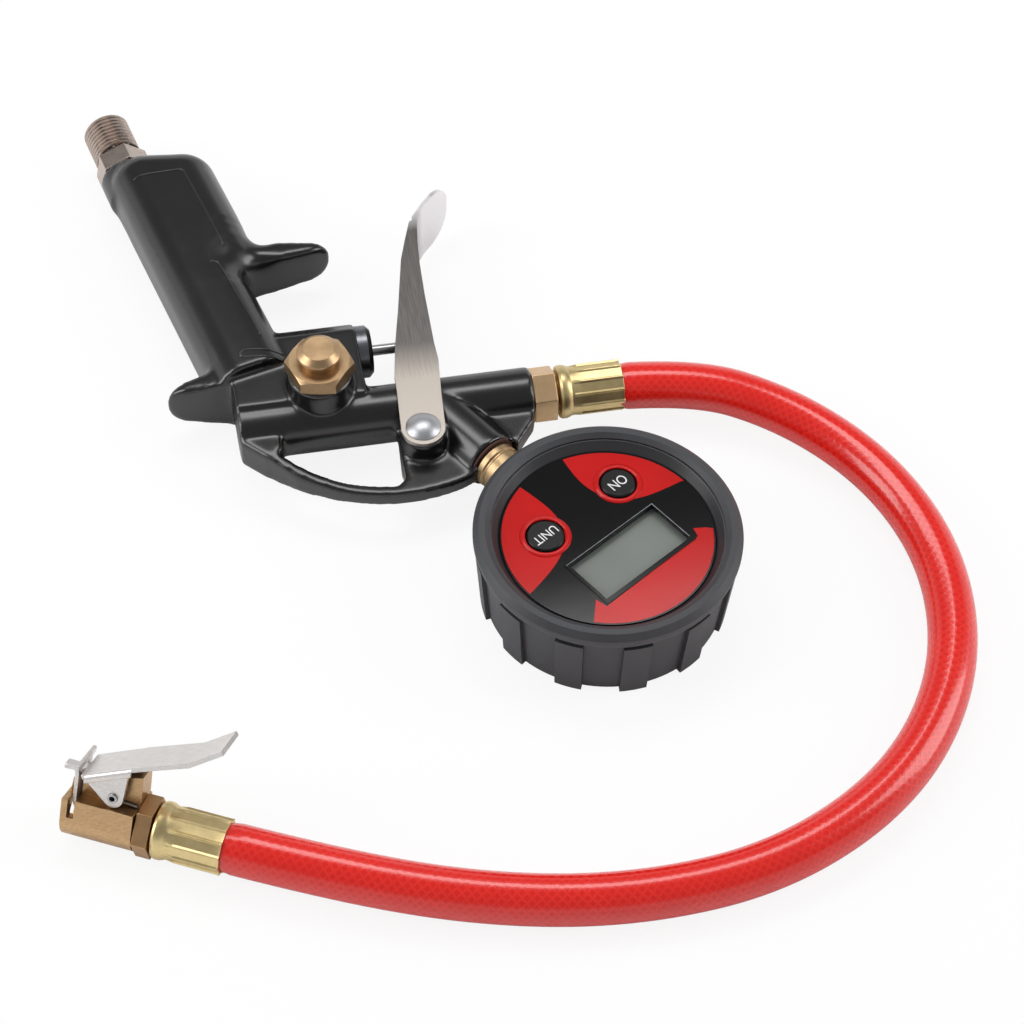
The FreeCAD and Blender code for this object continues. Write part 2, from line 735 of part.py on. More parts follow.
def coil(label, radius, wire, length, turns):
    """A helical compression spring about its own Z axis, one wire radius clear of both ends."""
    radius, wire, length = (as_size(value).number for value in (radius, wire, length))
    rise = length - 2 * wire
    helix = Part.makeHelix(rise / turns, rise, radius)
    helix.translate(FreeCAD.Vector(0, 0, wire))
    ring = Part.Wire(Part.makeCircle(wire / 2, FreeCAD.Vector(radius, 0, wire), FreeCAD.Vector(0, 1, 0)))
    piece = doc.addObject("Part::Feature", label)
    piece.Shape = Part.Wire(helix.Edges).makePipeShell([ring], True, True)
    return piece


def level_placement(x, y, z):
    """Lays a piece made about Z along X."""
    return FreeCAD.Placement(FreeCAD.Vector(x, y, z),
                             FreeCAD.Rotation(FreeCAD.Vector(1, 1, 1), 120))


# Bleed valve: a brass bonnet screwed into the boss on a fibre gasket, and a sprung
# button whose stem opens a sealed disc to let the tyre down.

def make_bleed_valve():
    place = {"x": d.bleed_x, "y": d.bleed_y, "z": d.mid_height}
    top = d.bleed_boss_top + d.bonnet_hex_height
    bonnet = new_body("bleed_bonnet", **place)
    base = new_sketch(bonnet, offset=d.bleed_seat_height)
    pad(bonnet, draw_circle(base, 0, 0, d.bonnet_shank_radius), d.bleed_boss_top - d.bleed_seat_height)
    hexagon = draw_hexagon(new_sketch(bonnet, offset=d.bleed_boss_top), d.bonnet_hex, 50)
    pad(bonnet, hexagon, d.bonnet_hex_height)
    flat_radius = d.bonnet_hex / 2
    outside = d.bonnet_hex / math.sqrt(3) + 1
    for face, slope in ((top, -0.55), (d.bleed_boss_top, 0.4)):
        chamfer = draw_outline(new_sketch(bonnet, "XZ_Plane"), [
            (flat_radius, face), (outside, face), (outside, face + slope * (outside - flat_radius))])
        spin_cut(bonnet, chamfer, "V_Axis")
    drill_down(bonnet, 0, 0, d.button_neck_radius + d.running_gap, top, d.bonnet_floor)
    drill_down(bonnet, 0, 0, d.bleed_seat_bore, d.bonnet_floor, d.bleed_seat_height)
    turned_upright("bleed_gasket", [
        (d.bleed_disc_radius + 0.6, d.bleed_seat_height - d.bleed_gasket_thickness),
        (d.bonnet_shank_radius, d.bleed_seat_height - d.bleed_gasket_thickness),
        (d.bonnet_shank_radius, d.bleed_seat_height), (d.bleed_disc_radius + 0.6, d.bleed_seat_height),
    ], **place)
    rim_top = d.button_rim_base + d.button_rim_height
    crown = rim_top + d.button_chamfer
    stem_socket = d.button_neck_base + 3
    turned_upright("bleed_button", [
        (d.bleed_stem_radius + 0.02, d.button_neck_base), (d.button_neck_radius, d.button_neck_base),
        (d.button_neck_radius, d.button_rim_base), (d.button_rim_radius, d.button_rim_base),
        (d.button_rim_radius, rim_top), (d.button_top_radius, crown), (0, crown),
        (0, stem_socket), (d.bleed_stem_radius + 0.02, stem_socket),
    ], **place)
    seal_top = d.bleed_seat_height - d.seat_gap
    seal_base = seal_top - d.seal_thickness / 2
    turned_upright("bleed_stem", [
        (0, seal_base - 1.2), (d.bleed_disc_radius, seal_base - 1.2),
        (d.bleed_disc_radius, seal_base), (d.bleed_stem_radius, seal_base),
        (d.bleed_stem_radius, stem_socket - 0.1), (0, stem_socket - 0.1),
    ], **place)
    turned_upright("bleed_seal", [
        (d.bleed_stem_radius + 0.02, seal_base), (d.bleed_disc_radius, seal_base),
        (d.bleed_disc_radius, seal_top), (d.bleed_stem_radius + 0.02, seal_top),
    ], **place)
    spring = coil("bleed_spring", d.bleed_spring_radius, d.bleed_spring_wire,
                  d.button_neck_base - d.bonnet_floor, 3)
    spring.Placement.Base = FreeCAD.Vector(
        d.bleed_x.number, d.bleed_y.number, (d.mid_height + d.bonnet_floor).number)


# Trigger: a folded steel lever on a rivet through the casting.

def make_trigger():
    body = new_body("trigger_lever", z=d.mid_height)
    sheet_t = d.trigger_sheet
    half_height = d.barrel_radius + d.trigger_side_gap + sheet_t
    web_base = d.barrel_y + d.barrel_radius + d.trigger_web_gap
    web_outside = [(d.trigger_web_x + 0.2, web_base), (d.trigger_web_x, 73.5), (d.trigger_web_x + 0.3, 91.4),
                   (d.trigger_web_x + 0.8, 103.3), (d.trigger_web_x + 1.5, 111.7),
                   (d.trigger_web_x + 2.8, 120.9)]
    foot_left = d.rivet_x - d.trigger_foot_radius
    foot_right = d.rivet_x + d.trigger_foot_radius
    ears = draw_outline(new_sketch(body), [
        (foot_left, d.rivet_y, d.trigger_foot_radius), (foot_right, d.rivet_y),
        (-34.6, 55.5)] + web_outside + [
        (-33.3, 119.5), (-35.7, 112.3), (-37.8, 105.5), (-41.5, 87.1), (-44.3, 74.5),
        (-46.2, 63.5), (-46.2, 60.5)])
    pad(body, ears, half_height * 2, both_ways=True)
    inside = [(x - sheet_t, y) for x, y in web_outside]
    channel = draw_outline(new_sketch(body), [(-70, 30), (-20, 30), (-20, web_base)] + inside + [
        (d.trigger_web_x + 2.0, 130), (-70, 130)])
    pocket(body, channel, (half_height - sheet_t) * 2, both_ways=True)
    leaf_x, leaf_y = sheet_t * 0.75, sheet_t * -0.66
    leaf_inside = [(-32.2, 121.2), (-28.9, 125.8), (-24.9, 130.3), (-20.9, 134.8)]
    leaf = [(d.trigger_web_x + 1.5 - sheet_t, 111.9)] + leaf_inside
    leaf += [(x + leaf_x, y + leaf_y) for x, y in reversed(leaf_inside[1:])]
    leaf += [(d.trigger_web_x + 2.8, 120.9), (d.trigger_web_x + 1.5, 111.7)]
    pad(body, draw_outline(new_sketch(body), leaf), half_height * 2, both_ways=True)
    round_edges(body, d.trigger_tip_round, lambda middle, first, last:
                middle.y > 134 and abs(first.z - last.z) < 0.01)
    hole = draw_circle(new_sketch(body), d.rivet_x, d.rivet_y, d.rivet_radius + d.running_gap)
    pocket(body, hole, half_height * 2, both_ways=True)

    head = half_height + 0.15
    dome = head + d.rivet_head_height
    dome_radius = (d.rivet_head_radius * d.rivet_head_radius
                   + d.rivet_head_height * d.rivet_head_height) / (d.rivet_head_height * 2)
    turned_upright("trigger_rivet", [
        (0, -dome, dome_radius), (d.rivet_head_radius, -head), (d.rivet_radius, -head),
        (d.rivet_radius, head), (d.rivet_head_radius, head, dome_radius), (0, dome),
    ], x=d.rivet_x, y=d.rivet_y, z=d.mid_height)


# Hose fittings: a hexagon with a hose barb screws into the barrel at one end and into
# the chuck at the other, and a brass ferrule is crimped over each barb.

def barb_profile(start):
    """The outside of a hose barb from its root to its tip, as (distance, radius)."""
    teeth = 4
    pitch = d.barb_length / teeth
    crest = d.hose_bore - d.running_gap
    corners = []
    for tooth in range(teeth):
        corners.append((start + pitch * tooth, crest))
        corners.append((start + pitch * (tooth + 1), d.barb_valley))
    return corners


def make_ferrule(label, start, **place):
    start = as_size(start)
    inner = d.hose_crimped_radius + d.running_gap
    mouth = start + d.ferrule_length
    collar_end = start + d.ferrule_collar_length
    return turned_level(label, [
        (start, d.hose_bore + d.running_gap), (start, d.ferrule_collar_radius - 0.9),
        (start + 0.9, d.ferrule_collar_radius), (collar_end - 0.8, d.ferrule_collar_radius),
        (collar_end + 0.4, d.ferrule_radius), (mouth, d.ferrule_radius), (mouth, inner),
        (start + d.ferrule_end_wall, inner), (start + d.ferrule_end_wall, d.hose_bore + d.running_gap),
    ], **place)


def make_outlet():
    place = {"x": d.barrel_right, "y": d.barrel_y, "z": d.mid_height}
    neck_end = d.outlet_hex_length + d.ferrule_gap
    body = turned_level("outlet_fitting", [
        (-d.outlet_shank_length, d.barb_bore), (neck_end + d.barb_length, d.barb_bore)]
        + list(reversed(barb_profile(neck_end)))
        + [(neck_end, d.outlet_shank_radius), (-d.outlet_shank_length, d.outlet_shank_radius)], **place)
    hexagon = draw_hexagon(end_sketch(body, 0, 0, 0, 0), d.outlet_hex, 86)
    draw_circle(hexagon, 0, 0, d.outlet_shank_radius - 1)
    pad(body, hexagon, d.outlet_hex_length)
    make_ferrule("ferrule_gun", neck_end, **place)


# Hose: 13 mm red tube. Its route is straight runs joined by tangent arcs, from the
# mouth of the gun's ferrule round to the mouth of the chuck's ferrule.

def hose_route():
    inset = (d.ferrule_end_wall + d.seat_gap).number
    gun_end = (d.barrel_right + d.outlet_hex_length + d.ferrule_gap).number + inset
    chuck_end = d.chuck_ferrule_start.number + inset
    yaw = math.radians(d.chuck_yaw.number)

    def out_of_chuck(distance):
        return (d.chuck_x.number + distance * math.cos(yaw),
                d.chuck_y.number + distance * math.sin(yaw), d.chuck_height.number)

    return [
        (gun_end, d.barrel_y.number, d.mid_height.number),
        (33.0, d.barrel_y.number, d.mid_height.number),
        (62.0, 45.2, 8.4),
        (82.8, 19.3, 6.6),
        (90.3, -13.2, 6.6),
        (83.3, -47.0, 6.6),
        (61.5, -76.0, 6.6),
        (27.0, -94.2, 6.6),
        (-11.0, -97.8, 6.6),
        (-49.0, -91.5, 6.7),
        out_of_chuck(38.0),
        out_of_chuck(chuck_end),
    ]


def rounded_path(points):
    """Straight runs joined by arcs, each of 0.45 of the shorter run beside its corner."""
    corners = [FreeCAD.Vector(*point) for point in points]
    edges = []
    radii = []
    here = corners[0]
    for before, corner, after in zip(corners, corners[1:], corners[2:]):
        towards_before = (before - corner).normalize()
        towards_after = (after - corner).normalize()
        setback = 0.45 * min((before - corner).Length, (after - corner).Length)
        half_inside = towards_before.getAngle(towards_after) / 2
        radii.append(setback * math.tan(half_inside))
        start = corner + towards_before * setback
        end = corner + towards_after * setback
        bisector = (towards_before + towards_after).normalize()
        depth = setback / math.cos(half_inside) - radii[-1]
        edges.append(Part.LineSegment(here, start).toShape())
        edges.append(Part.Arc(start, corner + bisector * depth, end).toShape())
        here = end
    edges.append(Part.LineSegment(here, corners[-1]).toShape())
    return Part.Wire(edges), radii


def sweep_round(path, radius):
    first = path.Edges[0]
    start = first.valueAt(first.FirstParameter)
    ring = Part.Wire(Part.makeCircle(radius, start, first.tangentAt(first.FirstParameter)))
    return path.makePipeShell([ring], True, False)


def make_hose():
    points = hose_route()
    path, radii = rounded_path(points)
    outside, bore = d.hose_radius.number, d.hose_bore.number
    tube = sweep_round(path, outside).cut(sweep_round(path, bore))
    expected = math.pi * (outside ** 2 - bore ** 2) * path.Length
    print("hose length %.1f, arc radii %s" % (path.Length, ", ".join("%.0f" % r for r in radii)))
    print("hose volume %.0f, section times length %.0f" % (tube.Volume, expected))
    crimped = (d.ferrule_length - d.ferrule_end_wall).number
    for end, after in ((points[0], points[1]), (points[-1], points[-2])):
        end = FreeCAD.Vector(*end)
        way = (FreeCAD.Vector(*after) - end).normalize()
        collar = Part.makeCylinder(outside + 1, crimped + 1, end - way, way)
        tube = tube.cut(collar.cut(Part.makeCylinder(
            d.hose_crimped_radius.number, crimped + 3, end - way * 2, way)))
    piece = doc.addObject("Part::Feature", "hose")
    piece.Shape = tube


# Gauge stem: a brass tube that carries the gauge on the gun, with a washer at the
# port, a nut inside the case and the pressure sensor on its inner end.

def make_stem():
    place = {"z": d.mid_height, "turn": d.stem_angle}
    collar_end = d.port_distance - d.stem_washer_thickness
    thread_end = d.port_distance + d.port_thread_length
    collar_start = d.case_radius + d.seat_gap
    groove = d.stem_collar_radius - 0.5
    turned_level("gauge_stem", [
        (d.stem_inner_end, d.stem_bore), (thread_end, d.stem_bore),
        (thread_end, d.port_thread_radius), (collar_end, d.port_thread_radius),
        (collar_end, groove), (collar_end - 0.5, d.stem_collar_radius),
        (collar_end - 2.2, d.stem_collar_radius), (collar_end - 2.5, groove),
        (collar_end - 3.0, groove), (collar_end - 3.3, d.stem_collar_radius),
        (collar_start, d.stem_collar_radius), (collar_start, d.stem_inner_radius),
        (d.stem_inner_end, d.stem_inner_radius),
    ], **place)
    turned_level("stem_washer", [
        (collar_end, d.port_thread_radius + 0.02), (collar_end, d.stem_washer_radius),
        (d.port_distance, d.stem_washer_radius), (d.port_distance, d.port_thread_radius + 0.02),
    ], **place)
    nut_face = d.case_radius - d.case_wall - d.case_draft
    nut = new_body("stem_nut", **place)
    hexagon = draw_hexagon(end_sketch(nut, nut_face - d.stem_nut_thickness, 0, 0, 0), d.stem_nut_hex, 0)
    draw_circle(hexagon, 0, 0, d.stem_inner_radius + 0.02)
    pad(nut, hexagon, d.stem_nut_thickness)
    sensor_start = d.stem_inner_end - d.sensor_length
    turned_level("pressure_sensor", [
        (sensor_start, 0), (sensor_start, d.sensor_radius - 0.6), (sensor_start + 0.6, d.sensor_radius),
        (d.stem_inner_end, d.sensor_radius), (d.stem_inner_end, 0),
    ], **place)


# Gauge: a rubber boot round a moulded case, closed at the back by a screwed cover. The
# front carries the label, the display with its window and the two keys.

def screw_places():
    return [(d.screw_circle * cosine(angle), d.screw_circle * sine(angle)) for angle in (20, 90, 212, 302)]


def cut_display(body, thickness, top):
    """Cuts the display's opening and the holes of both keys down from the top."""
    sketch = flat_sketch(body, d.lcd_x, d.lcd_y, top - thickness, d.stem_angle - 90)
    draw_rectangle(sketch, d.lcd_length / -2, d.lcd_width / -2, d.lcd_length / 2, d.lcd_width / 2)
    pocket(body, sketch, thickness)
    for x, y, radius in ((d.on_x, d.on_y, d.on_radius), (d.unit_x, d.unit_y, d.unit_radius)):
        drill_down(body, x, y, radius + d.free_gap, top, top - thickness)


def make_gauge():
    case_inside = d.case_radius - d.case_wall
    case_base = d.boot_floor + d.seat_gap
    wall_under = d.front_height - d.front_wall
    cover_top = case_base + d.cover_thickness

    boot_inside = d.case_radius + d.seat_gap
    lip_under = d.case_top + d.seat_gap
    boot_radius = d.case_radius + d.boot_wall
    boot_base = boot_radius - d.boot_draft
    lip_radius = boot_radius + d.boot_lip_overhang
    lip_inner = d.case_radius - d.boot_lip_cover
    boot = turned_upright("gauge_boot", [
        (0, 0), (boot_base - 0.8, 0), (boot_base, 0.8), (boot_radius, d.boot_block_height),
        (lip_radius - 0.4, d.boot_top - 4.4), (lip_radius, d.boot_top - 3.0),
        (lip_radius, d.boot_top - 1.5), (lip_radius - 1.5, d.boot_top),
        (lip_inner + 1.3, d.boot_top), (lip_inner, d.boot_top - 1.0),
        (lip_inner, lip_under), (boot_inside, lip_under),
        (boot_inside - d.case_draft, d.boot_floor), (0, d.boot_floor),
    ])
    side = new_sketch(boot, "XZ_Plane")
    side.setExpression("AttachmentOffset",
                       f"placement(vector(0; 0; 0); rotation(vector(0; 1; 0); {d.boot_block_start.text}))")
    draw_outline(side, [
        (boot_base - 1, 0), (boot_base + d.boot_block_depth, 0),
        (boot_radius + d.boot_block_depth, d.boot_block_height), (boot_radius - 1, d.boot_block_height)])
    block = spin(boot, side, "V_Axis")
    block.setExpression("Angle", d.boot_block_angle.text)
    ring = boot.newObject("PartDesign::PolarPattern", "boot_blocks")
    ring.Originals = [block]
    ring.Axis = (side, ["V_Axis"])
    ring.Angle = 360
    ring.setExpression("Occurrences", d.boot_block_count.text)
    boot.Tip = ring
    stem_x, stem_y = cosine(d.stem_angle), sine(d.stem_angle)
    hole_start = d.case_radius - 6
    drill(boot, stem_x * hole_start, stem_y * hole_start, d.stem_angle,
          d.stem_collar_radius + d.seat_gap, 12, z=d.mid_height)

    case = turned_upright("gauge_case", [
        (case_inside - d.case_draft, case_base), (d.case_radius - d.case_draft, case_base),
        (d.case_radius, d.case_top),
        (d.case_radius - 1.2, d.case_top), (d.front_radius + 0.05, d.front_height), (0, d.front_height),
        (0, wall_under), (case_inside, wall_under),
    ])
    boss_base = cover_top + d.seat_gap
    for x, y in screw_places():
        post = draw_circle(new_sketch(case, offset=boss_base), x, y, d.screw_boss_radius)
        pad(case, post, wall_under - boss_base + 0.2)
    for x, y in screw_places():
        drill_down(case, x, y, d.screw_radius + 0.02, boss_base + d.screw_length, boss_base)
    cut_display(case, d.front_wall, d.front_height)
    drill(case, stem_x * hole_start, stem_y * hole_start, d.stem_angle,
          d.stem_inner_radius + d.seat_gap, 12, z=d.mid_height)

    cover = new_body("gauge_back_cover")
    cover_radius = case_inside - d.case_draft - d.seat_gap
    plate = draw_circle(new_sketch(cover, offset=case_base), 0, 0, cover_radius)
    pad(cover, plate, d.cover_thickness)
    for x, y in screw_places():
        drill_down(cover, x, y, d.screw_radius + d.seat_gap, cover_top, case_base)
        drill_down(cover, x, y, d.screw_head_radius + d.seat_gap, case_base + 1.3, case_base)
    head_base = (case_base + d.seat_gap).number
    screws = []
    for x, y in screw_places():
        centre = FreeCAD.Vector(x.number, y.number, head_base)
        head = Part.makeCylinder(d.screw_head_radius.number, 1.2, centre)
        shank = Part.makeCylinder(d.screw_radius.number, d.screw_length.number - 0.5, centre)
        screws.append(head.fuse(shank))
    group = doc.addObject("Part::Feature", "back_cover_screws")
    group.Shape = Part.makeCompound(screws)

    label = new_body("face_label")
    label_top = d.front_height + d.label_thickness
    disc = draw_circle(new_sketch(label, offset=d.front_height), 0, 0, d.front_radius)
    pad(label, disc, d.label_thickness)
    cut_display(label, d.label_thickness, label_top)

    window = new_body("display_window")
    pane = flat_sketch(window, d.lcd_x, d.lcd_y, wall_under, d.stem_angle - 90)
    half_length = d.lcd_length / 2 - d.running_gap
    half_width = d.lcd_width / 2 - d.running_gap
    draw_rectangle(pane, -half_length, -half_width, half_length, half_width)
    pad(window, pane, d.front_wall - 0.4)

    lcd = new_body("lcd")
    lcd_top = wall_under - d.running_gap
    glass = flat_sketch(lcd, d.lcd_x, d.lcd_y, lcd_top - d.lcd_thickness, d.stem_angle - 90)
    half_length = d.lcd_length / 2 + d.lcd_margin
    half_width = d.lcd_width / 2 + d.lcd_margin
    draw_rectangle(glass, -half_length, -half_width, half_length, half_width)
    pad(lcd, glass, d.lcd_thickness)

    pcb = new_body("gauge_pcb")
    pcb_top = lcd_top - d.lcd_thickness - d.running_gap
    board = draw_circle(new_sketch(pcb, offset=pcb_top - d.pcb_thickness), 0, 0, d.pcb_radius)
    pad(pcb, board, d.pcb_thickness)
    for x, y in screw_places():
        drill_down(pcb, x, y, d.screw_boss_radius + d.free_gap, pcb_top, pcb_top - d.pcb_thickness)

    key_top = label_top + d.key_rise
    key_base = key_top - d.key_height
    switches = []
    for name, x, y, radius in (("on_button", d.on_x, d.on_y, d.on_radius),
                               ("unit_button", d.unit_x, d.unit_y, d.unit_radius)):
        turned_upright(name, [
            (0, key_base), (radius + 1, key_base), (radius + 1, wall_under - d.seat_gap),
            (radius, wall_under - d.seat_gap), (radius, key_top - 0.4), (radius - 0.4, key_top),
            (0, key_top),
        ], x=x, y=y)
        side = d.switch_side.number
        height = (key_base - pcb_top).number - 0.5
        corner = FreeCAD.Vector(x.number - side / 2, y.number - side / 2, pcb_top.number)
        switches.append(Part.makeBox(side, side, height, corner))
    group = doc.addObject("Part::Feature", "tact_switches")
    group.Shape = Part.makeCompound(switches)

    place = {"x": d.battery_x, "y": d.battery_y}
    contact_base = cover_top + d.running_gap
    battery_base = contact_base + d.contact_thickness + d.running_gap
    turned_upright("battery_contact", [
        (0, contact_base), (d.battery_radius - 1, contact_base),
        (d.battery_radius - 1, contact_base + d.contact_thickness),
        (0, contact_base + d.contact_thickness),
    ], **place)
    battery_top = battery_base + d.battery_thickness
    turned_upright("battery", [
        (0, battery_base), (d.battery_radius - 0.3, battery_base),
        (d.battery_radius, battery_base + 0.3), (d.battery_radius, battery_top), (0, battery_top),
    ], **place)
    holder_inner = d.battery_radius + d.free_gap
    holder_outer = holder_inner + d.holder_wall
    turned_upright("battery_holder", [
        (holder_inner, contact_base), (holder_outer, contact_base),
        (holder_outer, battery_top + 0.2), (holder_inner, battery_top + 0.2),
    ], **place)


# Clip-on chuck: a brass body with a rubber seal and a valve depressor, a sliding steel
# jaw that grips the tyre valve, and a sprung lever on a pin that lifts the jaw.

def chuck_place():
    return {"x": d.chuck_x, "y": d.chuck_y, "z": d.chuck_height, "turn": d.chuck_yaw,
            "roll": d.chuck_roll}


def side_sketch(body, offset=0):
    """A sketch in the chuck's own upright plane: its axes are X and Z."""
    return new_sketch(body, "XZ_Plane", -as_size(offset))


def make_chuck_body():
    body = new_body("chuck_body", **chuck_place())
    section = end_sketch(body, d.chuck_mouth, 0, 0, 0)
    half = d.chuck_half_width
    draw_outline(section, [(-half, 0, half), (half, 0), (half, d.chuck_shoulder), (-half, d.chuck_shoulder)])
    pad(body, section, d.chuck_rear - d.chuck_mouth)
    rib = draw_outline(side_sketch(body, -d.rib_near), [
        (d.chuck_mouth + 0.4, d.chuck_shoulder - 1), (d.chuck_rear + 0.2, d.chuck_shoulder - 1),
        (d.chuck_rear + 0.3, 8.6), (d.chuck_rear + 0.1, 14.2), (d.chuck_mouth + 1.0, 9.5)])
    pad(body, rib, d.rib_near + d.rib_far, back=True)
    drill(body, d.chuck_mouth, 0, 0, d.chuck_bore, d.chuck_bore_end - d.chuck_mouth)
    drill(body, d.chuck_mouth, 0, 0, d.chuck_lead_radius, d.slot_rear - d.chuck_mouth)
    drill(body, d.chuck_rear, 0, 180, d.chuck_thread_radius + d.running_gap,
          d.chuck_rear - d.chuck_bore_end)
    slot = draw_rectangle(side_sketch(body), d.slot_front, d.slot_floor, d.slot_rear, 20)
    pocket(body, slot, half * 3, both_ways=True)
    hole = draw_circle(side_sketch(body), d.pivot_s, d.pivot_h, d.pivot_radius + 0.02)
    pocket(body, hole, half * 3, both_ways=True)
    return body


def make_chuck():
    place = chuck_place()
    make_chuck_body()
    seal_front = d.chuck_bore_end + d.seal_recess
    seal_back = d.chuck_thread_end - d.seat_gap
    turned_level("chuck_seal", [
        (seal_front, d.seal_bore), (seal_back, d.seal_bore), (seal_back, d.chuck_thread_radius),
        (seal_front, d.chuck_thread_radius),
    ], **place)
    hex_start, hex_end = d.chuck_hex_start, d.chuck_hex_end
    neck_end = d.chuck_ferrule_start
    disc_seat = d.chuck_thread_end + 1.3
    fitting = turned_level("chuck_fitting", [
        (neck_end + d.barb_length, d.barb_bore)] + list(reversed(barb_profile(neck_end)))
        + [(neck_end, 5.6), (hex_end, 5.6), (hex_start, d.chuck_thread_radius),
           (d.chuck_thread_end, d.chuck_thread_radius), (d.chuck_thread_end, 2.7), (disc_seat, 2.7),
           (disc_seat, d.barb_bore)], **place)
    hexagon = draw_hexagon(end_sketch(fitting, hex_start, 0, 0, 0), d.chuck_hex, d.chuck_hex_clock)
    draw_circle(hexagon, 0, 0, d.chuck_thread_radius - 1)
    pad(fitting, hexagon, hex_end - hex_start)
    disc_front = d.chuck_thread_end + d.seat_gap
    depressor = turned_level("chuck_depressor", [
        (seal_front, 0), (seal_front, 0.8), (disc_front, 0.8), (disc_front, 2.65),
        (disc_seat - 0.1, 2.65), (disc_seat - 0.1, 0),
    ], **place)
    vents = end_sketch(depressor, disc_front - 0.1, 0, 0, 0)
    for step in range(3):
        draw_circle(vents, 1.75 * cosine(120 * step), 1.75 * sine(120 * step), 0.5)
    pocket(depressor, vents, 2)
    make_ferrule("ferrule_chuck", neck_end, **place)
    ear_outside = d.lever_half_width + 0.6
    pin = new_body("chuck_pivot_pin", **place)
    tube = draw_circle(side_sketch(pin), d.pivot_s, d.pivot_h, d.pivot_radius)
    draw_circle(tube, d.pivot_s, d.pivot_h, d.pivot_bore)
    pad(pin, tube, ear_outside * 2, both_ways=True)


def make_jaw():
    body = new_body("chuck_jaw", **chuck_place())
    front = (d.slot_front + d.slot_rear) / 2 - d.jaw_thickness / 2
    half = d.jaw_half_width
    plate = end_sketch(body, front, 0, 0, 0)
    draw_outline(plate, [
        (-half, 4.6), (-3.4, d.jaw_tip), (3.4, d.jaw_tip), (half, 4.6), (half, 12.8), (7.0, 12.8),
        (7.0, 14.3), (-5.0, 14.3), (-5.0, 12.8), (-half, 12.8)])
    pad(body, plate, d.jaw_thickness)
    lip = end_sketch(body, front - 2.8, 0, 0, 0)
    draw_rectangle(lip, -5.0, 13.1, -2.0, 14.3)
    pad(body, lip, 3)
    window = end_sketch(body, front - 1, 0, 0, 0)
    draw_rectangle(window, -2.3, 10.2, 2.3, 12.75)
    pocket(body, window, 3)
    notch = draw_circle(end_sketch(body, front - 1, 0, 0, 0), 0, 0, d.chuck_bore - 0.8)
    pocket(body, notch, 3)
    return body


def make_chuck_lever():
    body = new_body("chuck_lever", **chuck_place())
    sheet_t = d.lever_sheet
    plate = draw_outline(side_sketch(body), [
        (-21.1, 12.7), (-20.6, 12.9 - sheet_t * 1.1), (-7.7, 18.6 - sheet_t * 1.08),
        (5.9, 23.8 - sheet_t * 1.15), (13.9, 29.2 - sheet_t * 0.85), (13.2, 29.2),
        (5.7, 23.8), (-7.8, 18.6)])
    pad(body, plate, d.lever_half_width * 2, both_ways=True)
    tongue = draw_outline(side_sketch(body), [
        (-24.0, 11.4), (-24.0, 11.4 - sheet_t * 1.08), (-20.0, 13.1 - sheet_t * 1.08), (-20.0, 13.1)])
    pad(body, tongue, 3.4, both_ways=True)
    for side in (-1, 1):
        ear = draw_outline(side_sketch(body, (d.lever_half_width - sheet_t / 2) * side), [
            (-20.6, 12.3), (d.pivot_s - d.ear_round * 0.64, d.pivot_h - d.ear_round * 0.77, d.ear_round),
            (d.pivot_s + d.ear_round, d.pivot_h - 0.1), (-9.0, 17.2), (-10, 16.8)])
        pad(body, ear, sheet_t, both_ways=True)
    hole = draw_circle(side_sketch(body), d.pivot_s, d.pivot_h, d.pivot_radius + d.running_gap)
    pocket(body, hole, d.lever_half_width * 3, both_ways=True)
    return body


def make_torsion_spring():
    """Two turns round the pivot pin, one leg on the chuck's shoulder and one under the lever."""
    wire = d.torsion_wire.number / 2
    radius = d.torsion_radius.number
    turns = 1.75
    pitch = d.torsion_wire.number * 1.05
    helix = Part.makeHelix(pitch, pitch * turns, radius)
    start = FreeCAD.Vector(radius, 0, 0)
    first = helix.Edges[0]
    ring = Part.Wire(Part.makeCircle(wire, start, first.tangentAt(first.FirstParameter)))
    shape = Part.Wire(helix.Edges).makePipeShell([ring], True, True)
    shape.rotate(FreeCAD.Vector(0, 0, 0), FreeCAD.Vector(0, 0, 1), -90)
    leg = Part.makeCylinder(wire, 5.6, FreeCAD.Vector(0, -radius, 0), FreeCAD.Vector(1, -0.1, 0))
    up = Part.makeCylinder(wire, 5.0, FreeCAD.Vector(-radius, 0, pitch * turns), FreeCAD.Vector(0.1, 1, 0))
    shape = shape.fuse(leg).fuse(up)
    piece = doc.addObject("Part::Feature", "chuck_spring")
    piece.Shape = shape
    own = FreeCAD.Placement(
        FreeCAD.Vector(d.pivot_s.number, -d.rib_near.number - 0.45, d.pivot_h.number),
        FreeCAD.Rotation(FreeCAD.Vector(1, 0, 0), 90))
    chuck = FreeCAD.Placement(
        FreeCAD.Vector(d.chuck_x.number, d.chuck_y.number, d.chuck_height.number),
        FreeCAD.Rotation(d.chuck_yaw.number, 0, d.chuck_roll.number))
    piece.Placement = chuck.multiply(own)


make_gun_body()
make_inlet_adapter()
make_valve()
make_bleed_valve()
make_trigger()
make_outlet()
make_hose()
make_stem()
make_gauge()
make_chuck()
make_jaw()
make_chuck_lever()
make_torsion_spring()
doc.recompute()


# Every piece is checked before any of them is written

broken = [item.Label for item in doc.Objects if "Invalid" in item.State or "Error" in item.State]
assert not broken, f"features that failed: {broken}"
pieces = [item for item in doc.Objects
          if item.TypeId in ("PartDesign::Body", "Part::Feature") and item.getParent() is None]
for piece in pieces:
    shape = piece.Shape
    assert not shape.isNull() and shape.isValid() and shape.Solids, f"{piece.Label} has no valid shape"
    assert all(solid.Volume > 0 for solid in shape.Solids), f"{piece.Label} has an empty solid"

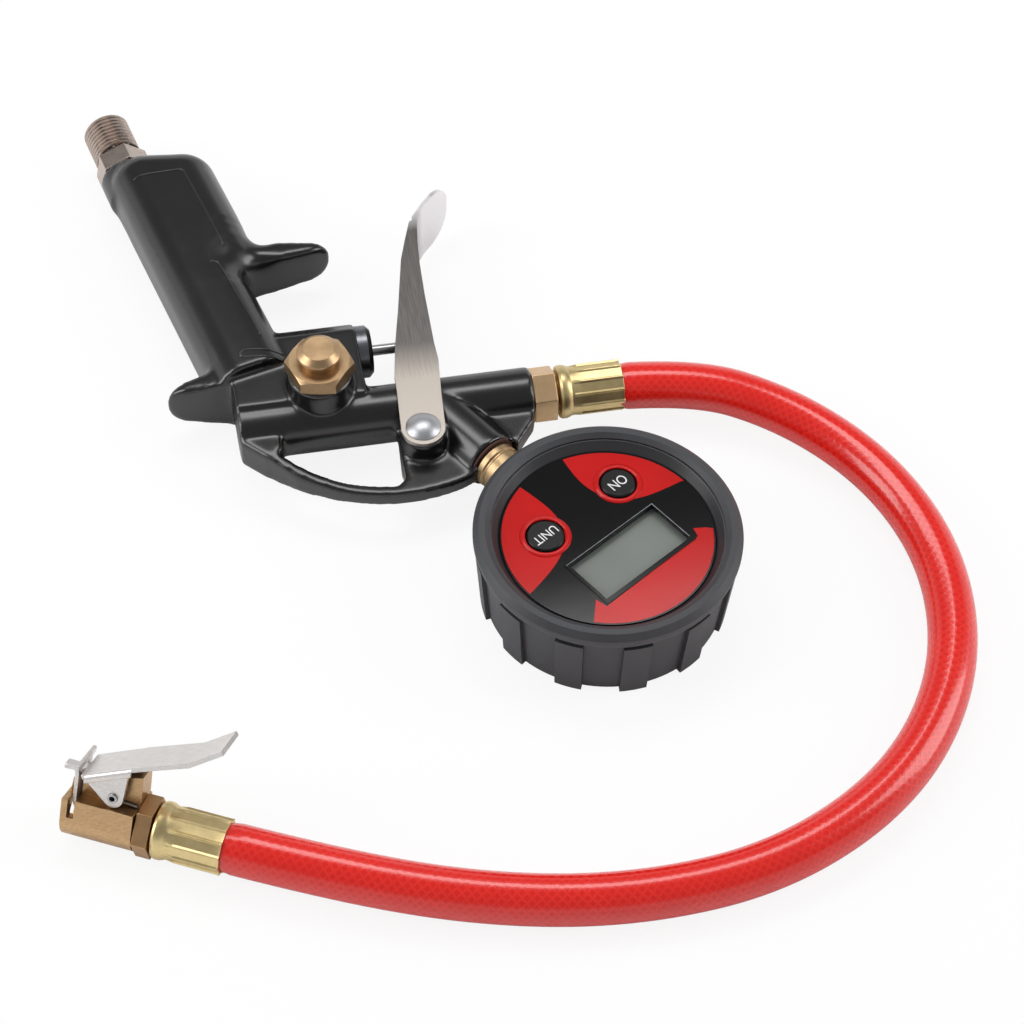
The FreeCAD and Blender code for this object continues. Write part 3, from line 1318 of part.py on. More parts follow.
os.makedirs("parts", exist_ok=True)
for piece in pieces:
    piece.Shape.exportStep(f"parts/{piece.Label}.step")
    box = piece.Shape.BoundBox
    print("%-20s %d solid(s) %9.1f mm3  z %.2f to %.2f" % (
        piece.Label, len(piece.Shape.Solids), piece.Shape.Volume, box.ZMin, box.ZMax))
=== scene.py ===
import math

import bmesh
import bpy
from mathutils import Matrix, Vector
from mathutils.bvhtree import BVHTree


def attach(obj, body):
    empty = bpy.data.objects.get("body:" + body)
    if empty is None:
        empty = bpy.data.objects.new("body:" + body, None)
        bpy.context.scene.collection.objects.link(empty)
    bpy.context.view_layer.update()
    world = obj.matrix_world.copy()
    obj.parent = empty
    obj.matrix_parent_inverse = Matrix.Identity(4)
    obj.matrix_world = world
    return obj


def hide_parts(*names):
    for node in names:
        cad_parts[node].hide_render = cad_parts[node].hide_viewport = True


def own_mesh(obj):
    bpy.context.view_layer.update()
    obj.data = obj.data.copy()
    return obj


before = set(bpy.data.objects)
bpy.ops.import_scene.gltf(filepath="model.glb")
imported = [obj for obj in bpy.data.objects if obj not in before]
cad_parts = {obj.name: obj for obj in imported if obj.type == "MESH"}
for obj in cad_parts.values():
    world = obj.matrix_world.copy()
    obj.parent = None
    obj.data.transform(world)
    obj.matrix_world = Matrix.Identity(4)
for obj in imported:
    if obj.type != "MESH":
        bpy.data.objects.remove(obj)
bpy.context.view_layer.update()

mm = 0.001

# Camera: the photograph looks down on the gun from the chuck's side, from under a metre
# away, with a 100 mm lens on a 36 mm frame and a slight tilt.
camera_aim = Vector((-19.45, 29.44, 0)) * mm
camera_distance = 773 * mm
camera_azimuth = math.radians(-11.9)
camera_elevation = math.radians(52.5)
camera_tilt = math.radians(2.0)
camera_turn = (Matrix.Rotation(camera_azimuth, 4, "Z")
               @ Matrix.Rotation(math.radians(90) - camera_elevation, 4, "X")
               @ Matrix.Rotation(camera_tilt, 4, "Z"))
camera_data = bpy.data.cameras.new("camera")
camera_data.lens = 100
camera_data.sensor_width = 36
camera = bpy.data.objects.new("camera", camera_data)
camera.matrix_world = (Matrix.Translation(camera_aim) @ camera_turn
                       @ Matrix.Translation((0, 0, camera_distance)))
bpy.context.scene.collection.objects.link(camera)
bpy.context.scene.camera = camera
bpy.context.scene.view_settings.view_transform = "Standard"

# Table, backdrop and lamps: a white sweep that the camera sees as plain white, with a
# large softbox on each side and one over the table. What a polished surface mirrors is
# white low down and greyer overhead, as in a small light tent.


def linear(hex_colour, alpha=1.0):
    """A linear RGBA colour from an sRGB hex value."""
    parts = [int(hex_colour[i:i + 2], 16) / 255 for i in (1, 3, 5)]
    return [c / 12.92 if c <= 0.04045 else ((c + 0.055) / 1.055) ** 2.4 for c in parts] + [alpha]


def add_node(tree, kind, inputs=None, **settings):
    """Adds a shader node with its settings, and sets each input or links it to a socket."""
    node = tree.nodes.new("ShaderNode" + kind)
    for name, value in settings.items():
        setattr(node, name, value)
    for name, value in (inputs or {}).items():
        if isinstance(value, bpy.types.NodeSocket):
            tree.links.new(value, node.inputs[name])
        else:
            node.inputs[name].default_value = value
    return node


world = bpy.data.worlds.new("light_tent")
world.use_nodes = True
world.node_tree.nodes.clear()
bpy.context.scene.world = world
tent = world.node_tree
direction = add_node(tent, "TexCoord").outputs["Generated"]
height = add_node(tent, "SeparateXYZ", {"Vector": direction}).outputs["Z"]
# The mirrored tent is white up to 17 degrees over the table and grey from 25 degrees up.
tent_tone = add_node(tent, "ValToRGB", {"Fac": height})
for stop, position, tone in zip(tent_tone.color_ramp.elements, (0.30, 0.42), ("#f0f0f0", "#8c8c8c")):
    stop.position = position
    stop.color = linear(tone)
ray = add_node(tent, "LightPath")
seen = add_node(tent, "Background", {"Color": linear("#ffffff"), "Strength": 1.0})
mirrored = add_node(tent, "Background", {"Color": tent_tone.outputs["Color"], "Strength": 1.0})
lighting = add_node(tent, "Background", {"Color": linear("#ffffff"), "Strength": 0.42})
glossy_or_clear = add_node(tent, "Math", {0: ray.outputs["Is Glossy Ray"],
                                          1: ray.outputs["Is Transmission Ray"]}, operation="MAXIMUM")
not_seen = add_node(tent, "MixShader", {0: glossy_or_clear.outputs[0], 1: lighting.outputs[0],
                                        2: mirrored.outputs[0]})
tent_mix = add_node(tent, "MixShader", {0: ray.outputs["Is Camera Ray"], 1: not_seen.outputs[0],
                                        2: seen.outputs[0]})
add_node(tent, "OutputWorld", {"Surface": tent_mix.outputs[0]})

# Each softbox: its name, place and size in millimetres, and power in watts.
softboxes = (
    ("left_softbox", (-620, 60, 420), (330, 520), 2.3),
    ("right_softbox", (600, -60, 380), (330, 520), 2.0),
    ("top_softbox", (-40, 330, 760), (620, 260), 2.4),
)
for name, place, size, power in softboxes:
    lamp = bpy.data.lights.new(name, "AREA")
    lamp.shape = "RECTANGLE"
    lamp.size, lamp.size_y = size[0] * mm, size[1] * mm
    lamp.energy = power
    softbox = bpy.data.objects.new(name, lamp)
    spot = Vector(place) * mm
    softbox.matrix_world = (Matrix.Translation(spot)
                            @ (camera_aim - spot).to_track_quat("-Z", "Y").to_matrix().to_4x4())
    bpy.context.scene.collection.objects.link(softbox)

# White backdrop paper, matt. Most of what the camera sees of it is plain white, and the
# rest is lit paper, which keeps a soft shadow under the object.
paper_glow = 0.88
table_reach = 3.0
table_drop = 0.05 * mm
paper = bpy.data.materials.new("white_paper")
paper.use_nodes = True
paper.node_tree.nodes.clear()
sheet = paper.node_tree
paper_ray = add_node(sheet, "LightPath")
paper_matt = add_node(sheet, "BsdfDiffuse", {"Color": linear("#f4f4f4")})
paper_lit = add_node(sheet, "Emission", {"Color": linear("#ffffff"), "Strength": 1.0})
paper_share = add_node(sheet, "Math", {0: paper_ray.outputs["Is Camera Ray"], 1: paper_glow},
                       operation="MULTIPLY")
paper_mix = add_node(sheet, "MixShader", {0: paper_share.outputs[0], 1: paper_matt.outputs[0],
                                          2: paper_lit.outputs[0]})
add_node(sheet, "OutputMaterial", {"Surface": paper_mix.outputs[0]})

table_mesh = bmesh.new()
bmesh.ops.create_grid(table_mesh, x_segments=1, y_segments=1, size=table_reach,
                      matrix=Matrix.Translation((0, 0, -table_drop)))
table_data = bpy.data.meshes.new("table")
table_mesh.to_mesh(table_data)
table_data.materials.append(paper)
table = bpy.data.objects.new("table", table_data)
bpy.context.scene.collection.objects.link(table)

# Gun body: one zinc die casting with a round-edged grip, two finger guards, a valve
# block, the barrel, the bow below it and a port for the gauge. It is dipped in black
# enamel, which rounds each edge and fills each inside corner.
casting_voxel = 0.55 * mm
casting_passes = 8
# The guards' roots, the grip's collar and the inside corners, where the casting is
# rounded most: centre and reach in millimetres, and passes of smoothing.
rounded_zones = (
    ((-86.0, 124.0, 14.0), 11.0, 60), ((-85.5, 116.0, 18.0), 14.0, 240),
    ((-94.0, 79.0, 14.0), 9.0, 50), ((-92.5, 67.5, 12.5), 6.0, 20),
    ((-72.0, 117.0, 12.5), 17.0, 21), ((-104.0, 69.0, 12.5), 13.0, 21),
    ((-109.5, 143.5, 12.5), 8.0, 45))
zone_shares = (1.0, 0.8, 0.6)
# The bow's outer edge in plan, from its heel to the gauge's port. Its half height runs
# from the heel's to the bow's over the heel's run.
bow_outline = ((-84.4, 46.4), (-80.5, 42.0), (-72.0, 35.6), (-62.0, 30.8), (-50.0, 28.5),
               (-38.0, 29.5), (-28.5, 32.6), (-22.0, 37.6))
bow_middle = 12.5
bow_width = 3.3 * mm
heel_height, bow_height = 5.0 * mm, 2.5 * mm
heel_run = 30.0 * mm
# The mould's thin raised lines on the grip and the block, in plan.
raised_lines = (
    ("grip_line", ((-108.5, 146.6), (-106.9, 147.3), (-95.0, 147.9), (-94.2, 147.2), (-86.2, 117.0))),
    ("lower_grip_line", ((-90.6, 111.4), (-88.6, 110.9), (-80.2, 82.3))),
    ("block_line", ((-74.6, 76.5), (-85.2, 77.2), (-86.6, 76.4), (-86.5, 75.2), (-84.9, 74.6),
                    (-74.9, 74.0))))
line_radius = 0.3 * mm
line_step = 1.0 * mm
line_sides = 8
above_casting = 60 * mm


def new_material(name, hex_colour, roughness, **values):
    """A material with one principled shader, and its node tree and shader to add to."""
    material = bpy.data.materials.new(name)
    material.use_nodes = True
    material.diffuse_color = linear(hex_colour)
    tree = material.node_tree
    tree.nodes.clear()
    inputs = {"Base Color": linear(hex_colour), "Roughness": roughness}
    inputs.update({key.replace("_", " "): value for key, value in values.items()})
    shader = add_node(tree, "BsdfPrincipled", inputs)
    add_node(tree, "OutputMaterial", {"Surface": shader.outputs[0]})
    return material, tree, shader


def new_piece(shape, name, material, slot, body, *nodes):
    """A finished bmesh as a piece on its body, which stands for the CAD nodes named."""
    data = bpy.data.meshes.new(name)
    shape.to_mesh(data)
    shape.free()
    data.shade_smooth()
    data.materials.append(material)
    piece = bpy.data.objects.new(name, data)
    bpy.context.scene.collection.objects.link(piece)
    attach(piece, body)
    if nodes:
        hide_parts(*nodes)
    return piece


def spline_points(points, resolution):
    """Points along the smooth curve that the route's points control."""
    curve = bpy.data.curves.new("route", "CURVE")
    curve.dimensions = "3D"
    curve.resolution_u = resolution
    spline = curve.splines.new("NURBS")
    spline.points.add(len(points) - 1)
    for point, place in zip(spline.points, points):
        point.co = (*place, 1)
    spline.order_u = 3
    spline.use_endpoint_u = True
    carrier = bpy.data.objects.new("route", curve)
    line = bpy.data.meshes.new_from_object(carrier)
    found = [vertex.co.copy() for vertex in line.vertices]
    bpy.data.objects.remove(carrier)
    bpy.data.meshes.remove(line)
    return found


def along(seat, direction):
    """The place of a turned piece that stands on its seat, with Z along its axis."""
    return Matrix.Translation(seat) @ direction.to_track_quat("Z", "Y").to_matrix().to_4x4()


def tube_along(points, radius_at, sides):
    """A closed tube, with UV as metres along it and turns round it."""
    shape = bmesh.new()
    bmesh.ops.create_circle(shape, segments=sides, radius=1,
                            matrix=along(points[0], points[1] - points[0]))
    ring = list(shape.edges)
    travelled, distances = 0, [0]
    total = sum((b - a).length for a, b in zip(points, points[1:]))
    centre, size = points[0], radius_at(0, total)
    bmesh.ops.scale(shape, vec=[size] * 3, space=Matrix.Translation(-centre), verts=shape.verts)
    heading = (points[1] - points[0]).normalized()
    for index, point in enumerate(points[1:], start=1):
        after = points[min(index + 1, len(points) - 1)]
        before = points[index - 1]
        new_heading = (after - before).normalized()
        made = bmesh.ops.extrude_edge_only(shape, edges=ring)["geom"]
        ring_verts = [item for item in made if isinstance(item, bmesh.types.BMVert)]
        ring = [item for item in made if isinstance(item, bmesh.types.BMEdge)
                and all(vert in set(ring_verts) for vert in item.verts)]
        travelled += (point - before).length
        new_size = radius_at(travelled, total)
        turn = heading.rotation_difference(new_heading).to_matrix().to_4x4()
        step = (Matrix.Translation(point) @ turn @ Matrix.Scale(new_size / size, 4)
                @ Matrix.Translation(-centre))
        bmesh.ops.transform(shape, matrix=step, verts=ring_verts)
        centre, heading, size = point, new_heading, new_size
        distances.append(travelled)
    shape.verts.index_update()
    layer = shape.loops.layers.uv.new("along_hose")
    for face in shape.faces:
        turns = [loop.vert.index % sides for loop in face.loops]
        wraps = max(turns) - min(turns) > sides / 2
        for loop, turn in zip(face.loops, turns):
            around = turn + sides if wraps and turn < sides / 2 else turn
            loop[layer].uv = (distances[loop.vert.index // sides], around / sides)
    bmesh.ops.holes_fill(shape, edges=[edge for edge in shape.edges if edge.is_boundary], sides=0)
    bmesh.ops.recalc_face_normals(shape, faces=shape.faces)
    return shape


def merged_copy(node):
    """The CAD node's mesh with its loose triangles joined up."""
    shape = bmesh.new()
    shape.from_mesh(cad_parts[node].data)
    bmesh.ops.remove_doubles(shape, verts=shape.verts, dist=0.001 * mm)
    return shape


def solid_again(shape, voxel):
    """The shape as one even skin, as a dipped or moulded surface is."""
    data = bpy.data.meshes.new("skin")
    shape.to_mesh(data)
    carrier = bpy.data.objects.new("skin", data)
    bpy.context.scene.collection.objects.link(carrier)
    remesh = carrier.modifiers.new("skin", "REMESH")
    remesh.mode = "VOXEL"
    remesh.voxel_size = voxel
    bpy.context.view_layer.update()
    skinned = carrier.evaluated_get(bpy.context.evaluated_depsgraph_get())
    skin = bpy.data.meshes.new_from_object(skinned)
    shape.clear()
    shape.from_mesh(skin)
    bpy.data.objects.remove(carrier)
    return shape


def smooth(shape, verts, passes):
    """Evens out the skin at these vertices."""
    for _ in range(passes):
        bmesh.ops.smooth_vert(shape, verts=verts, factor=0.5, use_axis_x=True, use_axis_y=True,
                              use_axis_z=True)


casting = merged_copy("gun_body")
bow_line = spline_points([Vector((*point, bow_middle)) * mm for point in bow_outline],
                         resolution=16)
# A bar with a square section is drawn out along the bow and joined into the casting.
strip_end, travelled = None, 0
for index, point in enumerate(bow_line):
    before, after = bow_line[max(index - 1, 0)], bow_line[min(index + 1, len(bow_line) - 1)]
    travelled += (point - before).length
    inward = (after - before).normalized().cross(Vector((0, 0, -1)))
    thinned = min(travelled / heel_run, 1)
    height = heel_height + (bow_height - heel_height) * math.sin(thinned * math.pi / 2)
    corners = [point + inward * across + Vector((0, 0, rise))
               for across, rise in ((0, -height), (0, height), (bow_width, height), (bow_width, -height))]
    if strip_end is None:
        strip_end = casting.faces.new([casting.verts.new(corner) for corner in corners])
        continue
    made = bmesh.ops.extrude_face_region(casting, geom=[strip_end])["geom"]
    if index > 1:
        bmesh.ops.delete(casting, geom=[strip_end], context="FACES_ONLY")
    strip_end = next(item for item in made if isinstance(item, bmesh.types.BMFace))
    for loop, corner in zip(strip_end.loops, corners):
        loop.vert.co = corner
casting = solid_again(casting, casting_voxel)
smooth(casting, casting.verts, casting_passes)
for middle, reach, passes in rounded_zones:
    centre = Vector(middle) * mm
    for share in zone_shares:
        near = [vert for vert in casting.verts if (vert.co - centre).length < reach * share * mm]
        smooth(casting, near, passes // len(zone_shares))
casting_skin = BVHTree.FromBMesh(casting)


def raised_line(points, radius, skin):
    """A thin ridge that follows the points over the skin below them."""
    steps = []
    for start, end in zip(points, points[1:]):
        a, b = Vector(start) * mm, Vector(end) * mm
        count = max(1, round((b - a).length / line_step))
        steps += [a.lerp(b, index / count) for index in range(count)]
    steps.append(Vector(points[-1]) * mm)
    tops = [skin.ray_cast(Vector((x, y, above_casting)), Vector((0, 0, -1)))[0] for x, y in steps]
    return tube_along(tops, lambda distance, total: radius, line_sides)


def uneven_surface(tree, shader, size, detail=2.0, fineness=0.5, place=None, tones=None, gloss=None,
                   relief=None):
    """One noise with features of this size, which varies the colour between two tones, the
    roughness between two values, or the height by a strength and a depth."""
    if place is None:
        place = add_node(tree, "TexCoord").outputs["Object"]
    grain = add_node(tree, "TexNoise", {"Vector": place, "Scale": 1 / size, "Detail": detail,
                                        "Roughness": fineness}).outputs["Fac"]
    if tones:
        colour = add_node(tree, "Mix", {"Factor": grain, "A": linear(tones[0]), "B": linear(tones[1])},
                          data_type="RGBA")
        tree.links.new(colour.outputs["Result"], shader.inputs["Base Color"])
    if gloss:
        roughness = add_node(tree, "MapRange", {"Value": grain, "To Min": gloss[0], "To Max": gloss[1]})
        tree.links.new(roughness.outputs[0], shader.inputs["Roughness"])
    if relief:
        bump = add_node(tree, "Bump", {"Height": grain, "Strength": relief[0], "Distance": relief[1]})
        tree.links.new(bump.outputs[0], shader.inputs["Normal"])
    return grain


# Black enamel, dipped and stoved: deep black and glossy, with a slight orange peel that
# breaks the lamps' long highlights, and a little duller where a hand has rubbed it.
enamel, paint, paint_shader = new_material(
    "black_enamel", "#0c0c0d", 0.22, IOR=1.5, Specular_IOR_Level=0.8)
uneven_surface(paint, paint_shader, 2.6 * mm, relief=(0.12, 0.05 * mm))
uneven_surface(paint, paint_shader, 14 * mm, 5.0, 0.6, gloss=(0.179, 0.321))

new_piece(casting, "gun_casting", enamel, "enamel", "gun", "gun_body")
for name, points in raised_lines:
    new_piece(raised_line(points, line_radius, casting_skin), name, enamel, "enamel", "gun")

# Inlet: a turned and nickel-plated adapter with a hexagon and a pipe thread of nine
# turns, screwed into the grip's end. Its plain core stands just inside the thread.
inlet_seat = Vector((-110.1, 159.4, 12.5)) * mm
inlet_angle = math.radians(102.7)
inlet_thread_start = 7.4 * mm
inlet_thread_end = 19.8 * mm
inlet_crest = 6.8 * mm
inlet_root = 6.05 * mm
inlet_core = inlet_root - 0.25 * mm
inlet_turns = 9
thread_segments = 72
# One turn of the thread from root to root: its radius there, and its share of the pitch.
thread_outline = ((inlet_root, 0.0), (inlet_root, 0.12), (inlet_crest, 0.44), (inlet_crest, 0.56),
                  (inlet_root, 0.88), (inlet_root, 1.0))
thread_edge_angle = math.radians(50)
flat_angle = math.radians(0.8)
broken_edge_angle = math.radians(40)


def soften(shape, width, least_angle=28):
    """Rounds the sharp edges of a machined or pressed shape."""
    bmesh.ops.dissolve_limit(shape, angle_limit=flat_angle, verts=shape.verts,
                             edges=shape.edges)
    sharp = [edge for edge in shape.edges if len(edge.link_faces) == 2
             and edge.calc_face_angle(0) > math.radians(least_angle)]
    bmesh.ops.bevel(shape, geom=sharp, offset=width, offset_type="OFFSET", affect="EDGES",
                    segments=2, profile=0.5, material=-1, clamp_overlap=True, loop_slide=True)
    return shape


def even_shading(piece):
    """Keeps flat faces flat to the light up to their broken edges."""
    piece.data.set_sharp_from_angle(angle=broken_edge_angle)
    weighted = piece.modifiers.new("even_shading", "WEIGHTED_NORMAL")
    weighted.weight = 100
    weighted.keep_sharp = True


def machined_piece(node, width, name, material, slot, body="gun", least_angle=28):
    """A CAD node's shape with its edges broken, standing for that node."""
    piece = new_piece(soften(merged_copy(node), width, least_angle), name, material, slot, body, node)
    even_shading(piece)
    return piece


def cut_thread(place, start, end, turns):
    """A single-start V thread, as a helical skin round the axis."""
    shape = bmesh.new()
    pitch = (end - start) / turns
    verts = [shape.verts.new((radius, 0, start + (share - 1) * pitch))
             for radius, share in thread_outline]
    edges = [shape.edges.new(pair) for pair in zip(verts, verts[1:])]
    bmesh.ops.spin(shape, geom=verts + edges, cent=(0, 0, 0), axis=(0, 0, 1),
                   dvec=(0, 0, pitch / thread_segments), angle=math.tau * (turns + 1),
                   steps=thread_segments * (turns + 1), use_merge=False)
    bmesh.ops.remove_doubles(shape, verts=shape.verts, dist=0.004 * mm)
    for height, side in ((start, -1), (end, 1)):
        bmesh.ops.bisect_plane(shape, geom=shape.verts[:] + shape.edges[:] + shape.faces[:],
                               plane_co=(0, 0, height), plane_no=(0, 0, side), clear_outer=True)
    bmesh.ops.recalc_face_normals(shape, faces=shape.faces)
    bmesh.ops.transform(shape, matrix=place, verts=shape.verts)
    return shape


# Nickel plate over turned steel, yellowed by use: a soft warm grey mirror on the crests
# and flats, with painted shade that darkens it to brown down in the thread and on the core.
nickel, plate, plate_shader = new_material("warm_nickel_plate", "#c9bdb4", 0.28, Metallic=1.0)
inlet_direction = Vector((math.cos(inlet_angle), math.sin(inlet_angle), 0))
plate_place = add_node(plate, "TexCoord").outputs["Object"]
plate_tarnish = uneven_surface(plate, plate_shader, 3 * mm, 4.0, place=plate_place, gloss=(0.2, 0.36))
plate_tone = add_node(plate, "Mix", {"Factor": plate_tarnish, "A": linear("#b8a99f"),
                                     "B": linear("#c6b8af")}, data_type="RGBA")
plate_offset = add_node(plate, "VectorMath", {0: plate_place, 1: tuple(inlet_seat)},
                        operation="SUBTRACT")
plate_across = add_node(plate, "VectorMath", {0: plate_offset.outputs[0], 1: tuple(inlet_direction)},
                        operation="CROSS_PRODUCT")
plate_radius = add_node(plate, "VectorMath", {0: plate_across.outputs[0]}, operation="LENGTH")
# Painted shade: the colour darkens to brown below the crests, towards the thread's roots and on the core.
thread_root_shade = add_node(plate, "MapRange", {"Value": plate_radius.outputs["Value"],
                                           "From Min": inlet_root, "From Max": inlet_crest - 0.1 * mm})
plate_colour_with_root_shade = add_node(plate, "Mix", {"Factor": thread_root_shade.outputs[0], "A": linear("#6a5c53"),
                                       "B": plate_tone.outputs["Result"]}, data_type="RGBA")
plate.links.new(plate_colour_with_root_shade.outputs["Result"], plate_shader.inputs["Base Color"])

inlet_place = along(inlet_seat, inlet_direction)
adapter = soften(merged_copy("inlet_adapter"), 0.25 * mm)
to_inlet = inlet_place.inverted()
for vert in adapter.verts:
    local = to_inlet @ vert.co
    radius = math.hypot(local.x, local.y)
    if local.z > inlet_thread_start and radius > inlet_root:
        shrink = inlet_core / radius
        vert.co = inlet_place @ Vector((local.x * shrink, local.y * shrink, local.z))
even_shading(new_piece(adapter, "inlet_adapter_body", nickel, "nickel", "gun", "inlet_adapter"))
inlet_thread = new_piece(cut_thread(inlet_place, inlet_thread_start, inlet_thread_end, inlet_turns),
                         "inlet_pipe_thread", nickel, "nickel", "gun")
inlet_thread.data.set_sharp_from_angle(angle=thread_edge_angle)

# Trigger valve: a plug screwed into the block, a steel pin that slides in it, and the
# seals and the spring behind the pin.
# Blackened steel of the plug, bare ground steel of the pin and hard-drawn wire of the
# springs: all turn light into a soft grey sheen, the blackened one the darkest.
dark_steel, blued, blued_shader = new_material("blackened_steel", "#77787d", 0.3, Metallic=1.0)
steel, bare, bare_shader = new_material("bare_steel", "#b9b9ba", 0.3, Metallic=1.0)
spring_steel, drawn, drawn_shader = new_material("drawn_spring_wire", "#a5a6a8", 0.25, Metallic=1.0)
for tree, shader, grain_size in ((blued, blued_shader, 0.9 * mm), (bare, bare_shader, 0.5 * mm),
                                 (drawn, drawn_shader, 0.4 * mm)):
    uneven_surface(tree, shader, grain_size, 3.0, gloss=(0.22, 0.4))
# Nitrile rubber, moulded: black and dull, with a fine grain.
seal_rubber, nitrile, nitrile_shader = new_material("black_nitrile", "#161616", 0.55)
uneven_surface(nitrile, nitrile_shader, 0.3 * mm, relief=(0.2, 0.02 * mm))
# Vulcanised fibre, punched from sheet: brown, dry and fibrous.
gasket_fibre, fibre, fibre_shader = new_material("brown_fibre_gasket", "#46291f", 0.8)
uneven_surface(fibre, fibre_shader, 0.4 * mm, 4.0, relief=(0.4, 0.05 * mm))

machined_piece("valve_guide", 0.35 * mm, "valve_plug", dark_steel, "steel")
machined_piece("valve_pin", 0.12 * mm, "valve_push_pin", steel, "steel", "valve")


def return_spring(node, name):
    """A coil spring: the CAD node's shape as a piece with its own mesh."""
    coil = merged_copy(node)
    spring = new_piece(coil, name, spring_steel, "spring_steel", "gun", node)
    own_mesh(spring)


return_spring("valve_spring", "valve_return_spring")


def finish_node(node, material):
    """Gives a CAD node whose shape is right the material of its real piece."""
    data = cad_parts[node].data
    data.materials.clear()
    data.materials.append(material)


for node in ("pin_seal", "poppet_seal", "bleed_seal", "chuck_seal"):
    finish_node(node, seal_rubber)
for node in ("chuck_spring", "battery_contact"):
    finish_node(node, spring_steel)
finish_node("bleed_gasket", gasket_fibre)
finish_node("stem_washer", gasket_fibre)

# Bleed valve: a turned brass bonnet with a hexagon, screwed down on the block, and the
# button that lets air out, turned with fine rings that show on its face.
bleed_axis = (-66.4 * mm, 64.0 * mm, 0)
# A lathe's rings are about 0.1 mm apart. They are drawn wider here, so that they show.
ring_spacing = 0.35 * mm


def turned_brass(name, dull, bright, axis_point, axis):
    """Brass turned round the axis and left bare: a warm metal, satin from the tool's rings,
    with duller, browner patches of tarnish."""
    material, tree, shader = new_material(name, bright, 0.36, Metallic=1.0)
    place = add_node(tree, "TexCoord").outputs["Object"]
    uneven_surface(tree, shader, 2.5 * mm, 5.0, place=place, tones=(dull, bright))
    offset = add_node(tree, "VectorMath", {0: place, 1: axis_point}, operation="SUBTRACT")
    across = add_node(tree, "VectorMath", {0: offset.outputs[0], 1: axis}, operation="CROSS_PRODUCT")
    radius = add_node(tree, "VectorMath", {0: across.outputs[0]}, operation="LENGTH")
    depth = add_node(tree, "VectorMath", {0: offset.outputs[0], 1: axis}, operation="DOT_PRODUCT")
    reach = add_node(tree, "Math", {0: radius.outputs["Value"], 1: depth.outputs["Value"]},
                     operation="ADD")
    phase = add_node(tree, "Math", {0: reach.outputs[0], 1: math.tau / ring_spacing},
                     operation="MULTIPLY")
    rings = add_node(tree, "Math", {0: phase.outputs[0]}, operation="SINE")
    bump = add_node(tree, "Bump", {"Height": rings.outputs[0], "Strength": 0.35, "Distance": 0.02 * mm})
    tree.links.new(bump.outputs[0], shader.inputs["Normal"])
    return material


bleed_brass = turned_brass("turned_brass_bleed", "#a98a68", "#c8aa84", bleed_axis, (0, 0, 1))
machined_piece("bleed_bonnet", 0.18 * mm, "bleed_bonnet_hexagon", bleed_brass, "brass")
machined_piece("bleed_button", 0.15 * mm, "bleed_push_button", bleed_brass, "brass", "bleed", 20)
finish_node("bleed_stem", steel)
return_spring("bleed_spring", "bleed_return_spring")

# Trigger: a lever folded from nickel-plated steel sheet, brushed along its upper half,
# that turns on a domed aluminium rivet.
trigger_edge = 0.3 * mm
# Along Y: the brushed half fades in, and then the leaf, painted nearly white as a highlight.
brushed_from, brushed_to = 66 * mm, 79 * mm
brushed_ragged = 9 * mm
leaf_highlight_from, leaf_highlight_to = 116 * mm, 124 * mm
# Dull nickel over brushed steel: pale and satin low down, darker grey with fine marks
# along the brushed half, and a painted highlight that makes the curved leaf nearly white where it faces
# the light.
trigger_steel, folded, folded_shader = new_material("plated_trigger_steel", "#c4bcb3", 0.42,
                                                    Metallic=1.0)
folded_place = add_node(folded, "TexCoord").outputs["Object"]
brushing = add_node(folded, "Mapping", {"Vector": folded_place, "Scale": (
    1 / (0.3 * mm), 1 / (7 * mm), 1 / (0.6 * mm))})
brush_marks = uneven_surface(folded, folded_shader, 1.0, 4.0, place=brushing.outputs[0],
                             relief=(0.15, 0.03 * mm))
folded_y = add_node(folded, "SeparateXYZ", {"Vector": folded_place}).outputs["Y"]
brush_reach = add_node(folded, "Math", {0: brush_marks, 1: brushed_ragged, 2: folded_y},
                       operation="MULTIPLY_ADD")
brushed_part = add_node(folded, "MapRange", {"Value": brush_reach.outputs[0],
                                             "From Min": brushed_from, "From Max": brushed_to})
folded_tone = add_node(folded, "Mix", {"Factor": brush_marks, "A": linear("#524f4d"),
                                       "B": linear("#8f8b88")}, data_type="RGBA")
folded_colour = add_node(folded, "Mix", {"Factor": brushed_part.outputs[0], "A": linear("#c3bab1"),
                                         "B": folded_tone.outputs["Result"]}, data_type="RGBA")
# Painted highlight: the leaf is painted nearly white, as it shows where it faces the light.
leaf_highlight_share = add_node(folded, "MapRange", {"Value": folded_y, "From Min": leaf_highlight_from,
                                          "From Max": leaf_highlight_to})
leaf_painted_highlight = add_node(folded, "Mix", {"Factor": leaf_highlight_share.outputs[0], "B": linear("#efecee"),
                                       "A": folded_colour.outputs["Result"]}, data_type="RGBA")
folded.links.new(leaf_painted_highlight.outputs["Result"], folded_shader.inputs["Base Color"])
# Aluminium, headed cold and left bare: a pale, slightly dull dome.
rivet_aluminium, alloy, alloy_shader = new_material("bright_aluminium", "#bfc0c4", 0.4, Metallic=1.0)
uneven_surface(alloy, alloy_shader, 1.2 * mm, 3.0, gloss=(0.34, 0.46))
machined_piece("trigger_lever", trigger_edge, "trigger_folded_lever", trigger_steel,
               "trigger_steel", "trigger")
machined_piece("trigger_rivet", 0.1 * mm, "trigger_pivot_rivet", rivet_aluminium, "rivet_aluminium")

